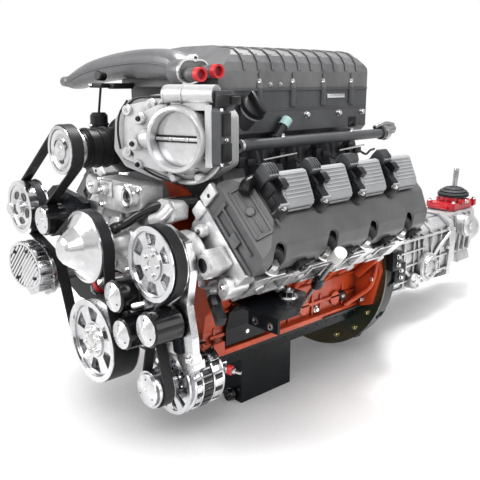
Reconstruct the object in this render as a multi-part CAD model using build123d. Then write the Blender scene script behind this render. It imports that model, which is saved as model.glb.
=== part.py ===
from build123d import *
import math
import os

# Complete V8 engine with a positive displacement supercharger, its belt driven accessories and the
# gearbox behind it. All lengths are in millimetres.
# While it is drawn the crank axis is Y at X 0 and Z 0, the rear face of the block is at Y 0, the
# belts are at the front (minus Y) and Z is up. At the end everything is moved so that the origin is
# the middle of the overall box in X and Y, at its lowest Z.

# Cylinders and crank train
bore_spacing = 113.3
bore_radius = 51.95
stroke = 90.9
rod_length = 157.6
deck_height = 235.0
bank_angle = 45.0
bank_stagger = 22.0
front_bore_y = -444.0
cylinders_per_bank = 4
main_radius = 32.5
pin_radius = 27.0
pin_length = 46.0
crank_room = 92.0
counterweight_radius = 78.0
crank_angles = [0.0, 90.0, 270.0, 180.0]
bulkhead = 24.0
cam_z = 130.0
cam_bore = 25.0

# Block casting
block_length = 515.0
pan_rail_z = -44.0
rail_half = 165.0
crankcase_half = 150.0
deck_inner_u = -72.0
deck_outer_u = 76.0
valley_z = 165.0

# Fits and gaps
running_fit = 0.05
seat_gap = 0.3
gasket = 1.5

# Heads and covers, in bank coordinates: u outwards from the cylinder axis, s along it
head_length = 478.0
head_front_y = -block_length + 7
head_top = 352.0
head_inner_u = -85.0
head_outer_u = 104.0
port_depth = 30.0
port_half = 20.0
cover_front_y = -545.0
cover_rear_y = -31.0
cover_top = 440.0
cover_wall = 4.0
bevel_run = 40.0
bevel_drop = 34.0
coil_top = 484.0
coil_fall = 18.0
coil_length = 76.0
coil_half = 33.0

# Oil pan
sump_half = 140.0
sump_front_y = -397.0
sump_rear_y = -237.0
pan_floor_z = -95.0
pan_wall = 3.0

# Belt drive: front and rear belt planes
front_plane_y = -690.0
front_plane_end = -660.0
rear_plane_y = -657.0
rear_plane_end = -628.0
belt_inset = 3.0
belt_thick = 4.0
belt_gap = 0.3
crank_pulley_radius = 84.0
pin_shaft = 8.0
bracket_front_y = -622.0
bracket_rear_y = -606.0

# Pulley centres (X, Z) and radii
pump_x, pump_z, pump_radius = -10.0, 197.0, 70.0
blower_x, blower_z, blower_radius = -80.0, 384.0, 47.0
guide_x, guide_z, guide_radius = -254.0, 245.0, 56.0
smooth_x, smooth_z, smooth_radius = -150.0, 231.0, 32.0
compressor_x, compressor_z, compressor_radius = -172.0, 108.0, 40.0
twin_x, twin_z, twin_radius = 96.0, 119.5, 32.6
lower_x, lower_z, lower_radius = 119.5, 49.5, 31.4
tensioner_x, tensioner_z, tensioner_radius = 203.0, 82.0, 33.0
steering_x, steering_z, steering_radius = 181.5, 196.0, 68.0
alternator_x, alternator_z, alternator_radius = 167.0, -56.0, 35.0

# Alternator and tensioner
alternator_front_y = -610.0
alternator_rear_y = -518.0
case_radius = 66.0
rotor_core = 46.0
ear_x, ear_z = 236.0, 0.0
arm_x, arm_z = 212.0, 30.0

# Supercharger
blower_half = 150.0
blower_bottom = 402.0
seam_z = 504.0
shoulder_z = 538.0
shoulder_run = 46.0
shoulder_rise = 45.0
roof_z = 588.0
blower_front_y = -468.0
blower_rear_y = 4.0
rotor_radius = 56.0
rotor_centres = 92.0
rotor_lobe = 20.0
roof_ribs = 10
rib_height = 3.0
filler_neck = 42.0

# Bridge duct: its end flange, the two plugged hose stubs and the open stub at the far end
stub_ends = ((169.0, -524.0, 531.0), (174.0, -486.0, 537.0))
stub_face_x = 124.0
stub_radius = 11.5
plug_radius = 13.4
plug_length = 12.0
tail_y, tail_z = -500.0, 516.0
tail_radius = 12.0
tail_end_x = -400.0
tail_collar_x = -334.0

# Throttle body, in its own frame: x across, z up, y inwards from its mouth
throttle_x, throttle_y, throttle_z = 191.0, -610.0, 417.5
throttle_yaw = 20.0
throttle_bore = 50.0
throttle_lip = 57.5
throttle_flange_y = 45.0
throttle_flange = 12.0

# Dipstick tube, from the crankcase side up past the rocker cover
dipstick_foot = (200, -279, 24)
dipstick_top = (360, -352, 185)
dipstick_bore = 3.5
dipstick_knob = 13.0

# Rear end
plate_radius = 236.0
plate_z = 45.0
plate_thick = 6.0
sump_floor_z = plate_z - plate_radius
bell_length = 175.0
bell_wall = 8.0
bell_straight = 46.0
bell_rear = 118.0
case_length = 385.0
tail_length = 240.0
output_z = 12.0
output_radius = 44.0

base_align = (Align.CENTER, Align.CENTER, Align.MIN)
root_half = math.sqrt(0.5)


def box(x0, x1, y0, y1, z0, z1):
    """A block between two corners."""
    middle = Pos((x0 + x1) / 2, (y0 + y1) / 2, (z0 + z1) / 2)
    return middle * Box(x1 - x0, y1 - y0, z1 - z0)


def rod(x, z, radius, y0, y1):
    """A round bar along Y."""
    return Pos(x, y0, z) * Rot(-90, 0, 0) * Cylinder(radius, y1 - y0, align=base_align)


def post(x, y, radius, z0, z1):
    """A round bar along Z."""
    return Pos(x, y, z0) * Cylinder(radius, z1 - z0, align=base_align)


def cross_rod(y, z, radius, x0, x1):
    """A round bar along X."""
    return Pos(x0, y, z) * Rot(0, 90, 0) * Cylinder(radius, x1 - x0, align=base_align)


def slab(points, y0, y1, radius=0.0):
    """An outline in X and Z, carried along Y from y0 to y1, with rounded corners if asked."""
    face = Polygon(*points, align=None)
    if radius > 0:
        face = fillet(face.vertices(), radius)
    return extrude(Plane.XZ.offset(-y1) * face, amount=y1 - y0, dir=(0, -1, 0))


def plan(points, z0, z1, radius=0.0):
    """An outline in X and Y, carried up from z0 to z1."""
    face = Polygon(*points, align=None)
    if radius > 0:
        face = fillet(face.vertices(), radius)
    return extrude(Pos(0, 0, z0) * face, amount=z1 - z0, dir=(0, 0, 1))


def turned(x, z, profile):
    """A solid of revolution about the Y line through X and Z, from points of radius and Y."""
    return Pos(x, 0, z) * revolve(Polygon(*profile, align=None), Axis.Y)


def mirrored(points):
    """An outline completed by its mirror image in X."""
    return points + [(-x, z) for x, z in reversed(points)]


def bank_point(u, s):
    """X and Z of a point of the plus X bank."""
    return ((s + u) * root_half, (s - u) * root_half)


def on_left(shape):
    """A shape drawn in bank coordinates, set on the plus X bank."""
    return Rot(0, bank_angle, 0) * shape


def on_right(shape):
    """A shape drawn in bank coordinates, set on the minus X bank."""
    return Pos(0, bank_stagger, 0) * mirror(on_left(shape), about=Plane.YZ)


def on_both(shape):
    return [on_left(shape), on_right(shape)]


def largest(shape):
    """The biggest solid of a shape, without the slivers left by a cut."""
    return sorted(shape.solids(), key=lambda solid: solid.volume)[-1]


def bore_y(index):
    return front_bore_y + bore_spacing * index


def pin_y(index):
    return bore_y(index) + bank_stagger / 2


def main_y(index):
    return pin_y(0) + bore_spacing * (index - 0.5)


def group(*shapes):
    """Separate solids that share one node."""
    solids = []
    for shape in shapes:
        solids += list(shape.solids())
    return Compound(children=solids)


# Block and crank train

def block_outline():
    half = [
        (40, valley_z),
        bank_point(deck_inner_u, deck_height),
        bank_point(deck_outer_u, deck_height),
        bank_point(deck_outer_u, 150),
        (crankcase_half, 10),
        (crankcase_half, pan_rail_z + 14),
        (rail_half, pan_rail_z + 10),
        (rail_half, pan_rail_z),
    ]
    return mirrored(half)


def engine_block():
    block = slab(block_outline(), -block_length, 0)
    flange = slab(mirrored([(218, 111), (228, 60), (205, -30), (rail_half, pan_rail_z)]), -14, 0)
    block = block + flange
    cuts = [box(-crank_room, crank_room, 12 - block_length, -22, pan_rail_z - 1, 0)]
    for index in range(4):
        front = main_y(index) + bulkhead / 2
        cuts.append(rod(0, 0, crank_room, front, main_y(index + 1) - bulkhead / 2))
        bore = post(0, bore_y(index), bore_radius, crank_room - 6, deck_height + 1)
        cuts += on_both(bore)
    cuts.append(rod(0, 0, main_radius + running_fit, -block_length - 1, 1))
    cuts.append(rod(0, cam_z, cam_bore, -block_length - 1, -20))
    block = block - cuts
    for index in range(4):
        y = bore_y(index) + bore_spacing / 2
        if index < 3:
            block = block + on_left(slab([(deck_outer_u, 160), (deck_outer_u + 9, 170),
                                          (deck_outer_u + 9, 226), (deck_outer_u, 230)], y - 9, y + 9))
    bosses = [cross_rod(bore_y(i) + 10, -6, 17, crankcase_half - 1, crankcase_half + 6) for i in range(4)]
    return block + bosses


def bearing_cap(index):
    y = main_y(index)
    cap = slab([(-76, 0), (76, 0), (76, -34), (44, -58), (-44, -58), (-76, -34)],
               y - bulkhead / 2, y + bulkhead / 2)
    return cap - rod(0, 0, main_radius + running_fit, y - bulkhead, y + bulkhead)


def main_bearing_caps():
    return group(*[bearing_cap(index) for index in range(5)])


def crank_web(index, y0, y1):
    angle = math.radians(crank_angles[index])
    x = stroke / 2 * math.sin(angle)
    z = stroke / 2 * math.cos(angle)
    cheek = rod(0, 0, main_radius + 8, y0, y1) + rod(x, z, pin_radius + 9, y0, y1)
    side = (math.cos(angle), -math.sin(angle))
    width = pin_radius + 4
    plate = [(side[0] * width, side[1] * width), (x + side[0] * width, z + side[1] * width),
             (x - side[0] * width, z - side[1] * width), (-side[0] * width, -side[1] * width)]
    weight = rod(0, 0, counterweight_radius, y0, y1)
    reach = 2 * counterweight_radius
    back = (-math.sin(angle), -math.cos(angle))
    low = 14.0
    keep = [(back[0] * low + side[0] * reach, back[1] * low + side[1] * reach),
            (back[0] * reach + side[0] * reach, back[1] * reach + side[1] * reach),
            (back[0] * reach - side[0] * reach, back[1] * reach - side[1] * reach),
            (back[0] * low - side[0] * reach, back[1] * low - side[1] * reach)]
    return cheek + slab(plate, y0, y1) + (weight & slab(keep, y0 - 1, y1 + 1))


def crankshaft():
    shaft = rod(0, 0, main_radius, main_y(0) - bulkhead / 2 - 4, 6)
    snout = rod(0, 0, 22, front_plane_y + 14, main_y(0))
    sprocket = rod(0, 0, 26, -536, -524)
    pieces = [snout, sprocket]
    gaps = []
    for index in range(4):
        angle = math.radians(crank_angles[index])
        x = stroke / 2 * math.sin(angle)
        z = stroke / 2 * math.cos(angle)
        y = pin_y(index)
        front = main_y(index) + bulkhead / 2 + 0.5
        rear = main_y(index + 1) - bulkhead / 2 - 0.5
        gaps.append(rod(0, 0, main_radius + 1, y - pin_length / 2, y + pin_length / 2))
        pieces.append(rod(x, z, pin_radius, y - pin_length / 2 - 1, y + pin_length / 2 + 1))
        pieces.append(crank_web(index, front, y - pin_length / 2))
        pieces.append(crank_web(index, y + pin_length / 2, rear))
    return (shaft - gaps) + pieces


def piston_height(index, bank):
    """Distance of the piston pin from the crank axis, along the bore."""
    angle = math.radians(crank_angles[index] - bank)
    across = stroke / 2 * math.sin(angle)
    return stroke / 2 * math.cos(angle) + math.sqrt(rod_length ** 2 - across ** 2)


def piston(index, bank):
    height = piston_height(index, bank)
    crown = post(0, bore_y(index), bore_radius - 0.1, height - 16, height + 28)
    room = post(0, bore_y(index), bore_radius - 8, height - 17, height + 18)
    pin = rod(0, height, 11, bore_y(index) - 44, bore_y(index) + 44)
    return crown - room + pin


def pistons():
    solids = []
    for index in range(4):
        solids.append(on_left(piston(index, bank_angle)))
        solids.append(on_right(piston(index, -bank_angle)))
    return group(*solids)


def connecting_rod(index, bank, offset):
    """One rod from its crank pin to its piston pin, in X and Z."""
    angle = math.radians(crank_angles[index])
    x = stroke / 2 * math.sin(angle)
    z = stroke / 2 * math.cos(angle)
    height = piston_height(index, bank)
    top_x = height * math.sin(math.radians(bank))
    top_z = height * math.cos(math.radians(bank))
    lean = math.atan2(top_x - x, top_z - z)
    y = pin_y(index) + offset
    beam = [(-11, 30), (11, 30), (8, rod_length - 14), (-8, rod_length - 14)]
    rod_shape = slab(beam, y - 7, y + 7)
    rod_shape = rod_shape + rod(0, 0, pin_radius + 8, y - 10.4, y + 10.4)
    rod_shape = rod_shape + rod(0, rod_length, 17, y - 10.4, y + 10.4)
    holes = [rod(0, 0, pin_radius + running_fit, y - 20, y + 20),
             rod(0, rod_length, 11 + running_fit, y - 20, y + 20)]
    return Pos(x, 0, z) * Rot(0, math.degrees(lean), 0) * (rod_shape - holes)


def connecting_rods():
    rods = []
    for index in range(4):
        rods.append(connecting_rod(index, bank_angle, -bank_stagger / 2))
        rods.append(connecting_rod(index, -bank_angle, bank_stagger / 2))
    return group(*rods)


def camshaft():
    shaft = rod(0, cam_z, 16, -block_length + 1, -26)
    pieces = [rod(0, cam_z, cam_bore - running_fit, main_y(i) - 11, main_y(i) + 11) for i in range(5)]
    for index in range(4):
        for bank, offset in ((1, -16), (1, 16), (-1, -34), (-1, 34)):
            turn = math.radians(90 * index + 45 * bank)
            x = 4 * math.sin(turn)
            z = cam_z + 4 * math.cos(turn)
            y = pin_y(index) + offset
            pieces.append(rod(x, z, 20.5, y - 7, y + 7))
    front_y = -block_length
    pieces.append(rod(0, cam_z, 52, front_y - 21, front_y - 9))
    pieces.append(rod(0, cam_z, 18, front_y - 27, front_y + 2))
    return shaft + pieces


# Closed loops of belt and chain

def loop_points(wheels):
    """Tangent points of a loop that runs clockwise round wheels of X, Z and signed radius."""
    runs = []
    count = len(wheels)
    for index in range(count):
        x0, z0, r0 = wheels[index]
        x1, z1, r1 = wheels[(index + 1) % count]
        distance = math.hypot(x1 - x0, z1 - z0)
        heading = math.atan2(z1 - z0, x1 - x0)
        normal = heading - math.acos((r1 - r0) / distance)
        nx, nz = math.cos(normal), math.sin(normal)
        runs.append(((x0 - r0 * nx, z0 - r0 * nz), (x1 - r1 * nx, z1 - r1 * nz)))
    return runs


def loop_face(wheels):
    """The face inside a loop of straight runs and arcs, drawn in X and Z."""
    runs = loop_points(wheels)
    edges = []
    count = len(wheels)
    for index in range(count):
        start, end = runs[index]
        edges.append(Line(start, end))
        x, z, radius = wheels[(index + 1) % count]
        leave = runs[(index + 1) % count][0]
        first = math.atan2(end[1] - z, end[0] - x)
        last = math.atan2(leave[1] - z, leave[0] - x)
        if radius > 0:
            middle = first - ((first - last) % (2 * math.pi)) / 2
        else:
            middle = first + ((last - first) % (2 * math.pi)) / 2
        reach = abs(radius)
        through = (x + reach * math.cos(middle), z + reach * math.sin(middle))
        edges.append(ThreePointArc(end, through, leave))
    return make_face(edges)


def loop_band(wheels, thick, y0, y1):
    """A band of even thickness round wheels of X, Z, radius and side: 1 inside, -1 on its back."""
    inner = []
    outer = []
    for x, z, radius, side in wheels:
        touch = radius + belt_gap
        if side > 0:
            inner.append((x, z, touch))
            outer.append((x, z, touch + thick))
        else:
            inner.append((x, z, -(touch + thick)))
            outer.append((x, z, -touch))
    face = loop_face(outer) - loop_face(inner)
    return extrude(Plane.XZ.offset(-y1) * face, amount=y1 - y0, dir=(0, -1, 0))


def supercharger_belt():
    wheels = [(0, 0, crank_pulley_radius, 1),
              (compressor_x, compressor_z, compressor_radius, -1),
              (guide_x, guide_z, guide_radius, 1),
              (blower_x, blower_z, blower_radius, 1),
              (smooth_x, smooth_z, smooth_radius, -1),
              (pump_x, pump_z, pump_radius, 1),
              (twin_x, twin_z, twin_radius, -1)]
    return loop_band(wheels, belt_thick, front_plane_y + belt_inset, front_plane_end - belt_inset)


def accessory_belt():
    wheels = [(steering_x, steering_z, steering_radius, 1),
              (tensioner_x, tensioner_z, tensioner_radius, -1),
              (alternator_x, alternator_z, alternator_radius, 1),
              (lower_x, lower_z, lower_radius, -1),
              (0, 0, crank_pulley_radius, 1),
              (twin_x, twin_z, twin_radius, -1)]
    return loop_band(wheels, belt_thick, rear_plane_y + belt_inset, rear_plane_end - belt_inset)


def timing_chain():
    wheels = [(0, 0, 26, 1), (0, cam_z, 52, 1)]
    return loop_band(wheels, 6, -535, -525)


# Pulleys

def window(x, z, inner, outer, angle, narrow, wide, y0, y1):
    """A rounded hole between two spokes."""
    turn = math.radians(angle)
    along = (math.cos(turn), math.sin(turn))
    side = (-along[1], along[0])
    corners = [(inner, -narrow), (outer, -wide), (outer, wide), (inner, narrow)]
    points = [(x + a * along[0] + b * side[0], z + a * along[1] + b * side[1]) for a, b in corners]
    return slab(points, y0, y1, 3)


def rim_profile(radius, y0, y1, bore, hub, lip=3.0, wall=6.0, web=8.0):
    """Half section of a pulley with two lips, a web near its front and a hub."""
    edge = 2.5
    return [(bore, y0 + 1), (hub, y0 + 1), (hub, y0 + 4), (radius - wall, y0 + 4), (radius - wall, y0),
            (radius + lip, y0), (radius + lip, y0 + edge), (radius, y0 + edge), (radius, y1 - edge),
            (radius + lip, y1 - edge), (radius + lip, y1), (radius - wall, y1),
            (radius - wall, y0 + 4 + web), (hub, y0 + 4 + web), (hub, y1), (bore, y1)]


def spoked_pulley(x, z, radius, y0, y1, bore, hub, windows, turn=90.0):
    pulley = turned(x, z, rim_profile(radius, y0, y1, bore, hub))
    inner = hub + 5
    outer = radius - 11
    wide = outer * math.sin(math.pi / windows) * 0.62
    narrow = inner * math.sin(math.pi / windows) * 0.62
    cuts = []
    for index in range(windows):
        angle = turn + 360 * index / windows
        cuts.append(window(x, z, inner, outer, angle, max(narrow, 4), wide, y0 - 1, y0 + 14))
    return pulley - cuts


def roller(x, z, radius, y0, y1):
    """A wide idler with a closed front, turning on a fixed pin."""
    bore = pin_shaft + running_fit
    profile = [(0, y0), (radius - 3, y0), (radius, y0 + 3), (radius, y1), (radius - 6, y1),
               (radius - 6, y0 + 9), (bore + 7, y0 + 9), (bore + 7, y1 - 2), (bore, y1 - 2),
               (bore, y0 + 6), (0, y0 + 6)]
    return turned(x, z, profile)


def roller_pin(x, z, y0):
    """The fixed pin of a roller whose front is at y0, up to the bracket."""
    return rod(x, z, pin_shaft, y0 + 7, bracket_front_y + 1)


def crank_pulley():
    radius = crank_pulley_radius
    y0, y1 = front_plane_y, rear_plane_end
    edge = 2.5
    hub = 34.0
    bore = 22.0 + running_fit
    wall = 8.0
    profile = [(0, y0 + 4), (hub, y0 + 4), (hub, y0 + 9), (radius - wall, y0 + 9), (radius - wall, y0),
               (radius + 3.5, y0), (radius + 3.5, y0 + edge), (radius, y0 + edge),
               (radius, front_plane_end - edge), (radius + 3.5, front_plane_end - edge),
               (radius + 3.5, rear_plane_y + edge), (radius, rear_plane_y + edge),
               (radius, y1 - edge), (radius + 3.5, y1 - edge), (radius + 3.5, y1), (radius - 14, y1),
               (radius - 14, y0 + 19), (hub, y0 + 19), (hub, y1 + 60), (bore, y1 + 60), (bore, y0 + 13),
               (0, y0 + 13)]
    pulley = turned(0, 0, profile)
    cuts = [window(0, 0, hub + 6, radius - 16, 90 + 60 * i, 9, 20, y0 - 1, y0 + 22) for i in range(6)]
    return pulley - cuts


def water_pump_pulley():
    y0, y1 = front_plane_y, front_plane_end
    radius = pump_radius
    edge = 2.5
    bore = 10.0
    nose = y0 - 48
    profile = [(0, nose), (20, nose), (27, nose + 5), (44, y0 - 20), (radius - 3, y0 - 2),
               (radius + 3, y0), (radius + 3, y0 + edge), (radius, y0 + edge), (radius, y1 - edge),
               (radius + 3, y1 - edge), (radius + 3, y1), (radius - 6, y1), (radius - 6, y0 + 8),
               (24, y0 + 8), (24, y1 + 6), (bore, y1 + 6), (bore, y1 + 60), (0, y1 + 60)]
    return turned(pump_x, pump_z, profile)


def supercharger_pulley():
    y0, y1 = front_plane_y, front_plane_end
    radius = blower_radius
    bore = 12.0 + running_fit
    pulley = turned(blower_x, blower_z, rim_profile(radius, y0, y1, 0, 20, 2.0, 5.0))
    holes = [rod(blower_x + 26 * math.cos(math.radians(72 * i + 20)),
                 blower_z + 26 * math.sin(math.radians(72 * i + 20)), 5.5, y0 - 1, y0 + 14)
             for i in range(5)]
    holes.append(rod(blower_x, blower_z, bore, y0 + 10, y1 + 1))
    return pulley - holes


def guide_pulley():
    y0, y1 = front_plane_y, front_plane_end
    bore = pin_shaft + running_fit
    front = spoked_pulley(guide_x, guide_z, guide_radius, y0 - 16, y1, bore, 18, 5, 60)
    band = turned(guide_x, guide_z, [(guide_radius - 4, y0 - 16), (guide_radius + 3, y0 - 16),
                                     (guide_radius + 3, y0 + 1), (guide_radius - 4, y0 + 1)])
    cap = rod(guide_x, guide_z, 12, y0 - 19, y0 - 13)
    return front + band + cap


def power_steering_pulley():
    y0, y1 = -662.0, rear_plane_end
    pulley = spoked_pulley(steering_x, steering_z, steering_radius, y0, y1, 9, 30, 6)
    shaft = rod(steering_x, steering_z, 9, y0 + 2, -600)
    bolts = [rod(steering_x + 20 * math.cos(math.radians(72 * i)),
                 steering_z + 20 * math.sin(math.radians(72 * i)), 4, y0 - 3, y0 + 2) for i in range(5)]
    return pulley + [shaft] + bolts


def compressor_pulley():
    """Belt roller of the compressor with the finned polished cover bolted to its hub."""
    x, z = compressor_x, compressor_z
    y0, y1 = front_plane_y, front_plane_end
    wheel = roller(x, z, compressor_radius, y0, y1)
    rim = [(0, y0 - 8), (compressor_radius + 8, y0 - 8), (compressor_radius + 8, y0), (0, y0)]
    corner = 46.0
    points = [(x + corner * math.cos(math.radians(a)), z + corner * math.sin(math.radians(a)))
              for a in range(22, 382, 60)]
    cover = slab(points, y0 - 40, y0 - 8, 14)
    return wheel + turned(x, z, rim) + cover


def alternator_rotor():
    """Alternator pulley, cooling fan and shaft."""
    x, z = alternator_x, alternator_z
    y0, y1 = -664.0, rear_plane_end
    fan_y = alternator_front_y - 6
    pulley = turned(x, z, rim_profile(alternator_radius, y0, y1, 0, 14, 2.0, 5.0))
    shaft = rod(x, z, 8.5, y0 + 6, alternator_rear_y - 4)
    core = rod(x, z, rotor_core, alternator_front_y + 14, alternator_rear_y - 16)
    ring = turned(x, z, [(0, fan_y), (66, fan_y), (66, fan_y + 4), (0, fan_y + 4)])
    slots = [window(x, z, 26, 58, 36 * i, 4, 9, fan_y - 1, fan_y + 5) for i in range(10)]
    cap = rod(x, z, alternator_radius - 4, y0 - 4, y0 + 2)
    spacer = rod(x, z, 20, y1 - 1, fan_y + 1)
    return (ring - slots) + [pulley, shaft, core, cap, spacer]


# Front end

def cover_outline(inset):
    half = [(60 - inset, 200 - inset), (86 - inset, 150), (92 - inset, 60), (100 - inset, 0),
            (95 - inset, -44 + inset)]
    return mirrored(half)


def front_cover():
    """Timing cover over the chain, open towards the block, with bracket bosses."""
    y0, y1 = -block_length - 45, -block_length
    shell = slab(cover_outline(0), y0, y1, 8) - slab(cover_outline(8), y0 + 8, y1 + 1)
    nose = rod(0, 0, 44, y0 - 12, y0 + 1)
    shell = shell + nose - rod(0, 0, 22 + seat_gap + 12, y0 - 13, y0 + 20)
    return shell


def water_pump():
    """Pump body with its shaft bearing and the two coolant branches to the heads."""
    y0, y1 = -600.0, -560.0
    body = slab([(-70, 160), (50, 160), (70, 225), (40, 262), (-60, 262), (-90, 225)], y0, y1, 16)
    nose = turned(pump_x, pump_z, [(0, -640), (26, -640), (30, y0 - 8), (52, y0), (52, y0 + 1), (0, y0 + 1)])
    left = slab([(40, 215), (128, 252), (160, 262), (165, 300), (120, 300), (40, 262)], -590, -556, 8)
    right = slab([(-60, 196), (-158, 206), (-176, 228), (-166, 262), (-70, 262)], -590, -556, 10)
    pump = body + [nose, left, right]
    pump = pump - rod(pump_x, pump_z, 10 + running_fit, -645, y1 - 5)
    return pump - slab(cover_outline(0), -560, -500)


def thermostat_housing(pump):
    """Square outlet block with a round port, on top of the pump."""
    x, z = 62, 300
    body = slab([(-74, 262), (36, 262), (84, 276), (88, 322), (-66, 326)], -612, -560, 8)
    port = rod(x, z, 20, -626, -611)
    return largest(body + port - rod(x, z, 12, -627, -590) - pump)


def front_bracket_left():
    """Polished plate that carries the plus X accessories."""
    outline = [(58, 20), (62, 96), (66, 160), (110, 176), (118, 238), (170, 262), (236, 240),
               (250, 190), (236, 120), (250, 60), (254, -4), (238, -18), (218, -8), (196, 14), (96, 8)]
    plate = slab(outline, bracket_front_y, bracket_rear_y, 8)
    legs = [rod(x, z, 12, bracket_rear_y - 1, -560) for x, z in ((80, 150), (80, 40))]
    arms = [rod(ear_x, ear_z, 10, bracket_rear_y - 1, alternator_front_y + 10)]
    pins = [roller_pin(x, z, front_plane_y) for x, z in ((twin_x, twin_z), (lower_x, lower_z))]
    plate = plate + legs + arms + pins
    plate = plate - rod(steering_x, steering_z, 46, bracket_front_y - 1, bracket_rear_y + 1)
    pivot = rod(arm_x, arm_z, pin_shaft + running_fit, bracket_front_y - 1, bracket_rear_y + 1)
    return plate - pivot


def power_steering_pump():
    """Vane pump body in the left bracket, with its reservoir neck."""
    x, z = steering_x, steering_z
    body = turned(x, z, [(0, -626), (30, -626), (30, -620), (46 - seat_gap, -620),
                         (46 - seat_gap, -606), (50, -606), (50, -570), (44, -562), (0, -562)])
    return body - rod(x, z, 9 + running_fit, -630, -590)


def front_bracket_right():
    """Plate that carries the guide pulley, the smooth idler and the compressor."""
    outline = [(-68, 40), (-68, 128), (-112, 205), (-118, 262), (-150, 272), (-254, 286), (-292, 262),
               (-292, 228), (-236, 180), (-232, 70), (-160, 40)]
    plate = slab(outline, bracket_front_y, bracket_rear_y, 8)
    legs = [rod(x, z, 12, bracket_rear_y - 1, -560) for x, z in ((-82, 60), (-80, 118))]
    pins = [roller_pin(guide_x, guide_z, front_plane_y - 16), roller_pin(smooth_x, smooth_z, -705)]
    hole = rod(compressor_x, compressor_z, pin_shaft + 4, bracket_front_y - 1, bracket_rear_y + 1)
    return (plate + legs + pins) - hole


def compressor_body():
    """Compressor housing, with the fixed nose that its pulley turns on."""
    x, z = compressor_x, compressor_z
    body = turned(x, z, [(0, -606), (48, -606), (56, -598), (56, -560), (52, -556), (52, -530),
                         (46, -522), (0, -522)])
    nose = rod(x, z, pin_shaft, front_plane_y + 7, -605)
    collar = rod(x, z, pin_shaft + 4 - seat_gap, bracket_front_y, -605)
    ports = box(x - 40, x - 8, -588, -556, z + 40, z + 70)
    return body + [nose, collar, ports]


def alternator_case():
    """Front and rear housings, with the ear that hangs on the bracket and the output stud."""
    x, z = alternator_x, alternator_z
    bore = 8.5 + running_fit
    room = rotor_core + 2
    y0, y1 = alternator_front_y, alternator_rear_y
    front = turned(x, z, [(bore, y0), (50, y0), (case_radius, y0 + 8), (case_radius, y0 + 28),
                          (room, y0 + 28), (room, y0 + 10), (bore, y0 + 10)])
    ear = slab([(x + 30, z + 50), (x + 56, z + 20), (ear_x + 10, ear_z - 6), (ear_x + 8, ear_z + 10),
                (ear_x - 6, ear_z + 10)], y0 + 10, y0 + 22, 3)
    slots = [window(x, z, 30, case_radius - 8, 30 * i + 15, 4, 8, y0 - 1, y0 + 9) for i in range(12)]
    rear = turned(x, z, [(bore, y1 - 12), (room, y1 - 12), (room, y1 - 38), (case_radius, y1 - 38),
                         (case_radius, y1 - 10), (54, y1), (0, y1), (0, y1 - 2), (bore, y1 - 2)])
    stud = rod(x + 40, z + 22, 5, y1 - 1, y1 + 14)
    return group(front + ear - slots, rear + stud)


def alternator_stator():
    x, z = alternator_x, alternator_z
    y0, y1 = alternator_front_y + 28, alternator_rear_y - 38
    inner, outer = rotor_core + 2, case_radius - 1
    return turned(x, z, [(inner, y0), (outer, y0), (outer, y1), (inner, y1)])


def tensioner_arm():
    """Lever of the belt tensioner, with its pivot in the bracket and its roller pin."""
    y0, y1 = rear_plane_end + 0.5, bracket_front_y - 0.3
    arm = slab([(arm_x - 12, arm_z - 8), (arm_x + 12, arm_z - 8), (tensioner_x + 12, tensioner_z + 8),
                (tensioner_x - 12, tensioner_z + 8)], y0, y1, 4)
    pivot = rod(arm_x, arm_z, pin_shaft, y0, bracket_rear_y - 2)
    pin = rod(tensioner_x, tensioner_z, pin_shaft, front_plane_y + 7, y1 - 1)
    return arm + pivot + pin


# Heads, covers and ignition

def cylinder_head():
    rear = head_front_y + head_length
    outline = [(head_inner_u, deck_height + gasket), (92, deck_height + gasket), (92, 255),
               (head_outer_u, 270), (head_outer_u, 332), (96, head_top), (head_inner_u, head_top)]
    head = slab(outline, head_front_y, rear)
    nose_section = [(-62, 292), (90, 292), (96, 312), (96, head_top), (-62, head_top)]
    nose = slab(nose_section, cover_front_y - 5, head_front_y + 1, 6)
    ports = []
    for index in range(cylinders_per_bank):
        y = bore_y(index)
        ports.append(box(head_outer_u - port_depth, head_outer_u + 1, y - port_half, y + port_half, 282, 318))
    return head + nose - ports


def cylinder_heads():
    return group(*on_both(cylinder_head()))


def head_gaskets():
    rear = head_front_y + head_length
    sheet = box(-72, 76, head_front_y + 2, rear - 22, deck_height, deck_height + gasket)
    holes = [post(0, bore_y(i), bore_radius + 1, deck_height - 1, deck_height + 3) for i in range(4)]
    return group(*on_both(sheet - holes))


def cover_section(inset):
    """Section of a rocker cover in bank coordinates."""
    return [(-72 + inset, head_top), (-72 + inset, 418 - inset / 2), (-38 + inset / 2, cover_top - inset),
            (40 - inset / 2, cover_top - inset), (86 - inset, 420 - inset), (103 - inset, 396),
            (106 - inset, head_top)]


def front_bevel(inset):
    """What the bevel along the front top edge of a rocker cover takes off."""
    y0 = cover_front_y
    low = cover_top - bevel_drop
    high = cover_top + 20
    points = [(y0 - 5, low), (y0, low), (y0 + bevel_run, cover_top), (y0 + bevel_run, high), (y0 - 5, high)]
    wedge = extrude(Plane.YZ.offset(-200) * Polygon(*points, align=None), amount=400, dir=(1, 0, 0))
    return Pos(0, 0, -inset) * wedge


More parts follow.
